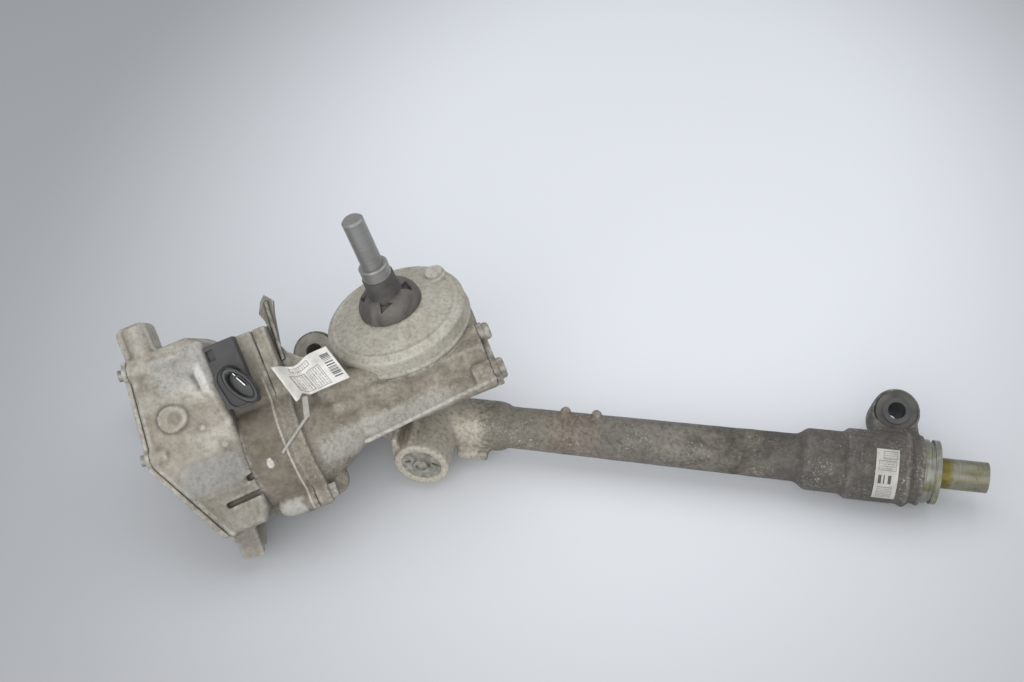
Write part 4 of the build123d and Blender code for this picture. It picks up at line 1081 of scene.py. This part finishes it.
    @staticmethod
    def _mouldings() -> tuple[MouldedFinish, ...]:
        """Plastics and rubbers."""
        return (
            MouldedFinish("black_plastic"),
            MouldedFinish("dusty_plastic", (0.025, 0.025, 0.027), (0.085, 0.081, 0.074), 0.7),
            MouldedFinish("socket_plastic", (0.008, 0.008, 0.009), (0.03, 0.029, 0.028), 0.3, (0.22, 0.5),
                          coat=0.15),
            MouldedFinish("dusty_rubber", (0.22, 0.205, 0.17), (0.40, 0.375, 0.32), 0.9, (0.7, 0.9)),
            MouldedFinish("neck_rubber", (0.05, 0.047, 0.044), (0.12, 0.11, 0.10), 0.5, (0.45, 0.7)),
            MouldedFinish("black_rubber", (0.035, 0.033, 0.03), dusty=0.6, rough=(0.6, 0.85)),
            MouldedFinish("boot_rubber", (0.06, 0.052, 0.047), (0.165, 0.145, 0.125), 0.75, (0.45, 0.75)),
            MouldedFinish("wheel_nylon", (0.55, 0.48, 0.33), (0.4, 0.34, 0.22), 0.3),
            MouldedFinish("green_board", (0.02, 0.12, 0.05), (0.05, 0.16, 0.09), 0.3),
            MouldedFinish("clear_strip", (0.32, 0.305, 0.26), (0.20, 0.185, 0.15), 0.8, (0.08, 0.25),
                          coat=1.0, clear=0.7),
        )

    @staticmethod
    def _papers() -> tuple[PaperFinish, ...]:
        """The tag's and the label's generic print."""
        return (
            PaperFinish("tag_paper", bars=(0.80, 0.955, 0.14, 0.86), pitch=26.0, boxes=(
                (0.44, 0.70, 0.06, 0.66), (0.14, 0.41, 0.08, 0.66), (0.20, 0.58, 0.76, 0.92))),
            PaperFinish("label_paper", bars=(0.36, 0.52, 0.12, 0.80), pitch=7.0, rows=26.0, boxes=(
                (0.60, 0.78, 0.12, 0.90), (0.80, 0.95, 0.30, 0.92), (0.05, 0.30, 0.15, 0.80)),
                ink=(0.035, 0.033, 0.03), paper=(0.44, 0.425, 0.385)),
        )


# ------------ castings
UNIT_FACE = 42.0  # from the worm's axis to the control unit's broad face, mm


@dataclass(frozen=True)
class Casting:
    """A frame solid dressed as a casting with run-together edges and an uneven skin."""

    nodes: tuple[str, ...]
    finish: str
    slot: str = "aluminium_casting"
    voxel: float = 1.2  # mm
    rounds: int = 8  # of smoothing, which run the edges together
    uneven: float = 0.5  # mm
    details: Sequence[Piece] = ()
    cuts: Sequence[Piece] = ()

    def build(self, finishes: Finishes) -> None:
        """Make the casting and dress it.

        Args:
            finishes: the gear's finishes.
        """
        name = self.nodes[0]
        piece = copy_of(name, name + "_cast")
        carve(piece, self.cuts)
        join(piece, [*(copy_of(node, node + "_copy") for node in self.nodes[1:]), *self.details])
        apply(piece, "REMESH", mode="VOXEL", voxel_size=self.voxel * MM, adaptivity=0.0)
        apply(piece, "SMOOTH", factor=0.5, iterations=self.rounds)
        if self.uneven:
            lumps = bpy.data.textures.new(name + "_lumps", "CLOUDS")
            lumps.noise_scale = LUMP_SIZE * MM
            lumps.noise_depth = 2
            apply(piece, "DISPLACE", texture=lumps, texture_coords="LOCAL", strength=self.uneven * MM,
                  mid_level=0.5)
        round_off(piece)
        relief(piece)
        dress(piece, "housing", self.slot, finishes[self.finish], *self.nodes)


@dataclass(frozen=True)
class Castings:
    """The gear's cast shells with their small cast details."""

    finishes: Finishes

    def build(self) -> None:
        """Make every casting."""
        cast = [
            Casting(("rack_housing", "rack_tube", "end_housing"), "housing_skin", "housing_casting",
                    voxel=1.4, details=self._housing_details()),
            Casting(("gear_housing",), "aluminium_case", details=self._case_details()),
            Casting(("worm_cap",), "aluminium_case", voxel=0.9, uneven=0.3),
            Casting(("sensor_cover",), "aluminium_cover", voxel=0.9, rounds=4, uneven=0.25,
                    details=self._cover_details()),
            Casting(("motor_housing",), "aluminium_motor", details=self._motor_details()),
            Casting(("ecu_housing",), "aluminium_unit", voxel=1.1, rounds=6,
                    details=self._unit_details(), cuts=self._unit_cuts()),
            Casting(("ecu_cover",), "aluminium_unit", "zinc_steel", voxel=0.9, rounds=4, uneven=0.2),
            Casting(("harness_bracket",), "zinc_plate", "zinc_steel", voxel=0.6, rounds=3, uneven=0.0),
        ]
        for casting in cast:
            casting.build(self.finishes)

    @staticmethod
    def _housing_details() -> list[Piece]:
        """Lip at the plain end, and the rib beside the rack guide."""
        lip = ((27, 388), (30.4, 389), (31.2, 390), (31.2, 392), (30.4, 393), (27, 394))
        return [
            turned("end_lip", PLAN.rack_frame(0), lip),
            rod("guide_rib", PLAN.yoke_frame(0), (-9, 23, 20), (-9, 20.5, 47), 3.0),
        ]

    @staticmethod
    def _motor_details() -> list[Piece]:
        """Body that is flush with the joint, its fine seam, and the bolt's long boss."""
        motor = PLAN.motor_frame(0)
        angle = math.radians(-63)
        cos, sin = math.cos(angle), math.sin(angle)
        return [
            turned("motor_shoulder", motor, [(45.7, 109.3), (45.7, 140), (44.0, 146)]),
            turned("seam", motor, [(44.5, 111.5), (47.1, 113.2), (47.1, 114.4), (44.5, 116)]),
            rod("bolt_boss", motor, (50 * cos, 50 * sin, 118), (48 * cos, 48 * sin, 132), 9.6),
        ]

    @staticmethod
    def _case_details() -> list[Piece]:
        """Cast edge and the domed boss beside the joint, and the fillet up to it."""
        front = PLAN.broad_face
        return [
            rod("case_edge", front, (240, -12, 33), (128, -19, 30), 2.2),
            ball("joint_dome", front @ at(90, -38.5, 2), (12.5, 12.5, 12.5)),
            turned("joint_fill", PLAN.motor_frame(0), [(45.5, 99), (45.7, 110.8), (44, 112)]),
            rod("case_shoulder", front, (114, 28, 15), (152, 27, 14), 12.0),
            rod("case_web", front, (118, 14, 19), (150, 10, 10), 9.0),
        ]

    @staticmethod
    def _cover_details() -> list[Piece]:
        """Lip over the joint and the low ring near the crown's edge."""
        lip = ((56, 92.6), (59.4, 93.0), (59.7, 95.4), (58.2, 96.4), (56, 96.6))
        ring = ((50.5, 110.8), (52.0, 112.0), (53.6, 111.6), (54.6, 110.2))
        return [turned("cover_lip", PLAN.tower, lip), turned("cover_ring", PLAN.tower, ring)]

    @staticmethod
    def _unit_details() -> list[Piece]:
        """Ridges and lumps on the control unit's broad face."""
        face = PLAN.broad_face
        ridges = (  # name, both ends on the face, radius, and the share of it that is sunk
            ("ridge_right", (30, 96), (33, 60), 6.0, 0.6),
            ("ridge_right_low", (33, 58), (36, 36), 4.5, 0.8),
            ("ridge_top", (-14, 100), (22, 98), 5.0, 0.6),
            ("rim_left", (-17, 100), (-27.5, 26), 2.6, 0.4),
            ("rim_corner", (-27.5, 24), (8, -46), 2.4, 0.4),
            ("pad_edge", (-10, -13), (34, -14), 1.6, 0.2),
        )
        made = []
        for name, start, end, radius, sink in ridges:
            depth = UNIT_FACE - radius * sink
            made.append(rod(name, face, (*start, depth), (*end, depth), radius))
        rim = ((9.6, 0), (9.6, 4.6), (8.8, 5.6), (7.4, 5.6), (6.0, 4.4), (3.0, 4.2))
        folded = face @ at(13.0, -48.5, 15) @ turn(40, "X") @ turn(-8, "Z")
        return made + [
            ball("dome", face @ at(22, 88, 38), (11, 9, 7)),
            ball("mound", face @ at(-4, 84, 39), (14, 12, 5)),
            turned("boss_rim", face @ at(0.7, 53.9, 40), rim),
            block("foot_plate", folded, (19, 36, 16), 1.5, 0.92),
            rod("foot_rim", face, (4.5, -44, 40), (6.5, -61, 21), 1.6),
        ]

    @staticmethod
    def _unit_cuts() -> list[Piece]:
        """What is missing from the control unit's broad face."""
        face = PLAN.broad_face
        above = 4.0  # a slot's cutter stands out of the face, mm

        def slot(name: str, place: tuple[float, float], size: Place, degrees: float) -> Piece:
            """A pocket in the face, of a size and turn in the face's plane."""
            width, depth, deep = size
            foot = face @ at(*place, UNIT_FACE - deep) @ turn(degrees, "Z")
            return block(name, foot, (width, depth, deep + above), 0.8)

        return [
            slot("step_slot", (28, -24), (34, 4.5, 7), 2),
            slot("corner_notch", (38, -10), (10, 5, 6), 12),
            block("foot_side", face @ at(33.5, -58, -16), (20, 22, 38), 1.0),
            ball("boss_dimple", face @ at(0.7, 53.9, 46.2), (5.5, 5.5, 3.2)),
        ]


# ------------ tag, strip and label
@dataclass(frozen=True)
class PaperTag:
    """Paper tag that curls up at its loose end, and the clear strip that holds it."""

    size: tuple[float, float] = (43.8, 29.4)
    middle: Place = (114.6, 46.0, 45.5)
    lean: float = -7.5  # of its top to the left, mm
    tilt: float = 1.2  # degrees
    strip: tuple[Place, ...] = ((99.0, 31.0, 45.2), (95.0, 16.5, 46.0), (67.5, -2.0, 47.2))
    strip_widths: tuple[float, float] = (5.0, 2.7)
    strip_thick: float = 0.9
    strip_overlap: float = 1.5  # of two lengths at a bend

    def build(self, finishes: Finishes) -> None:
        """Make the tag and its strip."""
        self._paper(finishes)
        self._strip(finishes)

    def _paper(self, finishes: Finishes) -> None:
        """The sheet: leaning, thin, rolled up at its left and arched over the rest.

        Args:
            finishes: the gear's finishes.
        """
        paper = sheet("paper_tag", self.size, (60, 24))
        push(paper, "X", self.lean, lambda u, v: v)
        folds: tuple[tuple[str, float, float, float, Callable[[float], float]], ...] = (
            # axis, shift, middle and width of the fold across the sheet, and its share up the sheet
            ("Z", 9.0, 0.0, 0.12, lambda v: 1.0),
            ("Z", -3.5, 0.27, 0.09, lambda v: 1.0),
            ("Z", 1.8, 0.62, 0.22, lambda v: 1.0),
            ("Y", -4.2, 0.36, 0.2, lambda v: v),
            ("Y", 1.4, 0.0, 0.16, lambda v: v),
            ("Y", 3.4, 0.14, 0.06, lambda v: (1 - v) ** 2),
            ("Y", -0.8, 0.0, 0.09, lambda v: 1 - v),
            ("Z", 2.0, 0.0, 0.2, lambda v: (1 - v) ** 3),
        )
        for axis, shift, middle, width, share in folds:
            push(paper, axis, shift, lambda u, v: math.exp(-(((u - middle) / width) ** 2)) * share(v))
        apply(paper, "SOLIDIFY", thickness=0.35 * MM, offset=0.0)
        crisp(paper)
        settle(paper, PLAN.broad_face @ at(*self.middle) @ turn(self.tilt, "Z"))
        dress(paper, "housing", "paper", finishes["tag_paper"], "tag")

    def _strip(self, finishes: Finishes) -> None:
        """The clear strip, from under the tag down over the joint's rim.

        Args:
            finishes: the gear's finishes.
        """
        places = [PLAN.broad_face @ mm(*place) for place in self.strip]
        lengths = []
        for number, (first, last) in enumerate(zip(places, places[1:])):
            way = (last - first).normalized()
            across = PLAN.face.cross(way).normalized()
            place = axes((first + last) / 2, way, across, way.cross(across))
            long = (last - first).length / MM + self.strip_overlap
            size = (long, self.strip_widths[number], self.strip_thick)
            lengths.append(block(f"tag_strip_{number}", place, size, 0.3))
        strip = lengths[0]
        join(strip, lengths[1:])
        strip.name = "tag_strip"
        apply(strip, "REMESH", mode="VOXEL", voxel_size=0.3 * MM, adaptivity=0.0)
        apply(strip, "SMOOTH", factor=0.5, iterations=3)
        round_off(strip)
        dress(strip, "housing", "clear_plastic", finishes["clear_strip"], "tag_strap")


@dataclass(frozen=True)
class Label:
    """Printed patch on the round end of the housing."""

    along: tuple[float, float] = (365.0, 383.0)  # from the crossing, mm
    angles: tuple[float, float] = (-11.0, 79.0)  # up from the front, degrees
    radius: float = 29.35

    def build(self, finishes: Finishes) -> None:
        """Make the patch from part of a cylinder.

        Args:
            finishes: the gear's finishes.
        """
        low, high = self.along
        first, last = self.angles
        crossing = PLAN.crossing
        deselect()
        bpy.ops.mesh.primitive_cylinder_add(vertices=180, radius=self.radius * MM, depth=(high - low) * MM,
                                            end_fill_type="NOTHING")
        patch = named("label_patch")
        settle(patch, PLAN.rack_frame((low + high) / 2))

        def angle(point: Vector) -> float:
            """How far a point lies up from the front, in degrees."""
            return math.degrees(math.atan2(point.z - crossing.z, crossing.y - point.y))

        pick(patch)
        mode("EDIT")
        select_faces(patch, lambda centre, normal: not first < angle(centre) < last)
        bpy.ops.mesh.delete(type="FACE")
        mode("OBJECT")
        layer = patch.data.uv_layers[0]
        layer.name = "print"
        for loop, spot in zip(patch.data.loops, layer.data):
            point = patch.data.vertices[loop.vertex_index].co
            up = (angle(point) - first) / (last - first)
            spot.uv = (up, ((point.x - crossing.x) / MM - low) / (high - low))
        apply(patch, "SOLIDIFY", thickness=0.2 * MM, offset=1.0)
        crisp(patch)
        dress(patch, "housing", "paper", finishes["label_paper"])


# ------------ boot and connector
@dataclass(frozen=True)
class DustBoot:
    """Rubber boot: a domed skirt with four pockets round a plain neck."""

    base: float = 26.0
    foot: float = 118.5
    top: float = 150.7
    neck: float = 13.0
    pockets: int = 4
    pocket_turn: float = 12.0  # of the first one, degrees
    pocket_place: Place = (17.5, 0.0, 14.5)  # from the axis and the foot
    pocket_tip: float = 32.0  # degrees
    pocket_size: tuple[float, float] = (7.2, 8.0)  # radius and depth, mm

    def build(self, finishes: Finishes) -> None:
        """Make the skirt, cut its pockets and set the neck on it."""
        self._skirt(finishes)
        self._neck(finishes)

    def _skirt(self, finishes: Finishes) -> None:
        """The domed skirt with its pockets.

        Args:
            finishes: the gear's finishes.
        """
        dome = ((0.0, 0.0), (0.0, 3.0), (0.8, 6.5), (2.6, 10.0), (5.4, 13.0), (8.8, 15.0))  # in and up
        profile = [(self.base - inward, self.foot + up) for inward, up in dome]
        profile.append((self.neck, self.foot + 16.0))
        skirt = turned("boot_skirt", Matrix.Identity(4), profile, bevel=0.6)
        radius, depth = self.pocket_size
        right, back, up = self.pocket_place
        cutters = []
        for number in range(self.pockets):
            round_axis = turn(360 / self.pockets * number + self.pocket_turn, "Z")
            place = round_axis @ at(right, back, self.foot + up) @ turn(self.pocket_tip, "Y")
            deselect()
            bpy.ops.mesh.primitive_cylinder_add(vertices=3, radius=radius * MM, depth=depth * MM)
            cutter = bpy.context.object
            soften(cutter, 0.7)
            cutters.append(settle(cutter, place))
        carve(skirt, cutters)
        crisp(skirt)
        settle(skirt, PLAN.tower)
        dress(skirt, "housing", "brown_rubber", finishes["boot_rubber"], "dust_boot")

    def _neck(self, finishes: Finishes) -> None:
        """The neck, a sleeve round the shaft's collar.

        Args:
            finishes: the gear's finishes.
        """
        flare = ((2.2, 11.0), (1.4, 15.0), (0.4, 18.0), (0.0, 22.0))  # out and up
        profile = [(self.neck + out, self.foot + up) for out, up in flare]
        profile += [(self.neck, self.top), (self.neck - 1.4, self.top)]
        piece = turned("boot_neck", PLAN.tower, profile, bevel=0.5)
        dress(piece, "housing", "brown_rubber", finishes["neck_rubber"], "dust_boot")


@dataclass(frozen=True)
class Connector:
    """Moulded base with a glossy oval socket and two contact blades."""

    place: Place = (57.5, 58.0, 40.5)
    size: Place = (17.0, 36.0, 13.0)
    turned_by: float = 27.0  # degrees
    wall: Profile = ((0.0, 0.8), (0.8, 0.0), (1.8, 0.0), (2.6, 0.8))  # in from the side, down from the rim
    floor: float = 3.0  # height inside, and the wall's thickness there
    blades: tuple[tuple[float, float, float], ...] = ((2.8, 10.8, 5.5), (2.2, 1.8, 9.0))  # across, up, long

    def build(self, finishes: Finishes) -> None:
        """Make the base from its solid, and the socket and blades on it.

        Args:
            finishes: the gear's finishes.
        """
        face = PLAN.broad_face
        base = copy_of("connector", "connector_base")
        trim = block("trim", face @ at(52, 60, 42.2), (60, 70, 20), 0.1)
        notch = block("notch", face @ at(43.5, 88, 38.5), (6, 9, 8))
        carve(base, (trim, notch))
        soften(base, 0.9)
        dress(base, "housing", "black_plastic", finishes["dusty_plastic"], "connector")

        width, length, height = self.size
        outer = width / 2
        rim = [(outer - inward, height - down) for inward, down in self.wall]
        profile = [(outer, 0.0), *rim, (outer - self.floor, self.floor)]
        seat = face @ at(*self.place) @ turn(self.turned_by, "Z")
        socket = turned("socket_shell", seat @ Matrix.Diagonal((1, length / width, 1, 1)), profile)
        dress(socket, "housing", "black_plastic", finishes["socket_plastic"], "connector")
        for number, (across, up, long) in enumerate(self.blades):
            blade = block(f"contact_{number}", seat @ at(across, up, 2), (0.9, long, 6.5), 0.2)
            dress(blade, "housing", "brass_pins", finishes["bright_pins"], "connector_pins")


# ------------ frame nodes
FINISHED_NODES = {
    "greased_bar": ("rack_bar",),
    "shaft_steel": ("input_shaft", "torsion_bar"),
    "bearing_steel": ("pinion_shaft", "pinion_lower_bearing", "pinion_upper_bearing", "yoke", "yoke_spring"),
    "worm_steel": ("worm_shaft", "worm_bearing_far", "worm_bearing_near"),
    "wheel_nylon": ("worm_wheel",),
    "sheet_laminate": ("motor_rotor", "motor_stator"),
    "ring_steel": ("end_ring_right", "end_ring_left"),
    "dull_sleeve": ("bush_sleeve_right",),
    "dusty_rubber": ("bush_sleeve_left", "bush_rubber_left"),
    "black_rubber": ("bush_rubber_right", "shaft_seal"),
    "black_plastic": ("motor_coupling", "rack_bush", "torque_sensor"),
    "green_board": ("circuit_board",),
    "aluminium_cover": ("cover_plug",),
    "aluminium_case": ("cap_screws",),
    "zinc_plate": ("yoke_plug", "ecu_cover_screws", "motor_bolts", "case_bolts"),
}


def finish_nodes(finishes: Finishes) -> None:
    """Give each solid of the frame that shows as it is its finish.

    Args:
        finishes: the gear's finishes.
    """
    for finish, names in FINISHED_NODES.items():
        for name in names:
            for slot in frame["nodes"][name].material_slots:
                slot.material = finishes[finish]


# ------------ studio
@dataclass(frozen=True)
class Lamp:
    """A square soft lamp that points at the gear."""

    name: str
    place: Place  # metres
    power: float
    size: float = 1.6  # metres
    aim: Place = (-0.25, -0.05, 0.0)

    def build(self) -> None:
        """Hang the lamp."""
        data = bpy.data.lights.new(self.name, "AREA")
        data.size = self.size
        data.energy = self.power
        lamp = bpy.data.objects.new(self.name, data)
        lamp.location = self.place
        way = Vector(self.aim) - lamp.location
        lamp.rotation_euler = way.to_track_quat("-Z", "Y").to_euler()
        bpy.context.scene.collection.objects.link(lamp)


@dataclass(frozen=True)
class Studio:
    """Pale floor with a painted pool of light, soft light and the camera; all in metres."""

    floor_height: float = -0.0322
    floor_colour: Colour = (0.77, 0.785, 0.81)
    # Painted pool of light on the floor: its middle, how depth counts, and its falloff to a darker edge.
    lit_middle: tuple[float, float] = (0.02, 0.35)
    lit_depth: float = 0.7  # front to back distances count by this share
    lit_reach: tuple[float, float] = (0.20, 0.68)  # where the painted light starts to fall off, and where it ends
    edge_tone: float = 0.47  # painted shade: tone of the floor past that
    lamps: tuple[Lamp, ...] = (
        Lamp("key_lamp", (-0.28, 0.22, 1.40), 8.2),
        Lamp("fill_lamp", (-0.35, -1.4, 0.75), 18.5),
    )
    room_colour: tuple[float, float, float, float] = (0.86, 0.90, 0.95, 1.0)
    room_strength: float = 0.63
    camera_place: Place = (-0.176, -0.836, 0.882)
    camera_right: Place = (0.9873, 0.1576, -0.0182)
    camera_up: Place = (-0.0979, 0.6952, 0.7122)
    lens: float = 49.22
    film: float = 36.0

    def build(self) -> None:
        """Set the floor, the lights and the camera."""
        self._floor()
        self._lights()
        self._camera()

    def _floor(self) -> None:
        """A wide floor with a painted pool of light: its colour darkens towards its edges."""
        deselect()
        bpy.ops.mesh.primitive_plane_add(size=8, location=(-0.25, 0, self.floor_height))
        floor = named("studio_floor")
        g = Surface("studio_floor")
        x, y, _ = g.add("SeparateXYZ", None, Vector=g.where).outputs
        across = g.math("SUBTRACT", x, self.lit_middle[0])
        deep = g.times(g.math("SUBTRACT", y, self.lit_middle[1]), self.lit_depth)
        squares = g.plus(g.times(across, across), g.times(deep, deep))
        light_falloff = g.add("MapRange", {"interpolation_type": "SMOOTHSTEP"}, Value=g.math("SQRT", squares))
        g.feed(light_falloff, "#1", self.lit_reach[0])
        g.feed(light_falloff, "#2", self.lit_reach[1])
        edge = tuple(self.edge_tone * tone for tone in self.floor_colour)
        g.shade(Base_Color=g.mix(light_falloff.outputs[0], self.floor_colour, edge), Roughness=0.7)
        floor.data.materials.append(g.material)

    def _lights(self) -> None:
        """A key lamp above the gear, a fill lamp in front of it, and a pale room."""
        for lamp in self.lamps:
            lamp.build()
        world = bpy.data.worlds.new("room")
        world.use_nodes = True
        background = world.node_tree.nodes["Background"]
        background.inputs["Color"].default_value = self.room_colour
        background.inputs["Strength"].default_value = self.room_strength
        bpy.context.scene.world = world

    def _camera(self) -> None:
        """The camera, looking down at the gear from the front."""
        right, up = Vector(self.camera_right).normalized(), Vector(self.camera_up)
        back = right.cross(up).normalized()
        data = bpy.data.cameras.new("camera")
        data.lens = self.lens
        data.sensor_width = self.film
        camera = bpy.data.objects.new("camera", data)
        camera.matrix_world = axes(Vector(self.camera_place), right, back.cross(right), back)
        bpy.context.scene.collection.objects.link(camera)
        bpy.context.scene.camera = camera


def main() -> None:
    """Build the whole scene."""
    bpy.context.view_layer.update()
    Studio().build()
    finishes = Finishes(Effects())
    finish_nodes(finishes)
    Castings(finishes).build()
    DustBoot().build(finishes)
    Connector().build(finishes)
    PaperTag().build(finishes)
    Label().build(finishes)
    bpy.context.scene.view_settings.view_transform = "Standard"
    deselect()


if __name__ == "__main__":
    main()
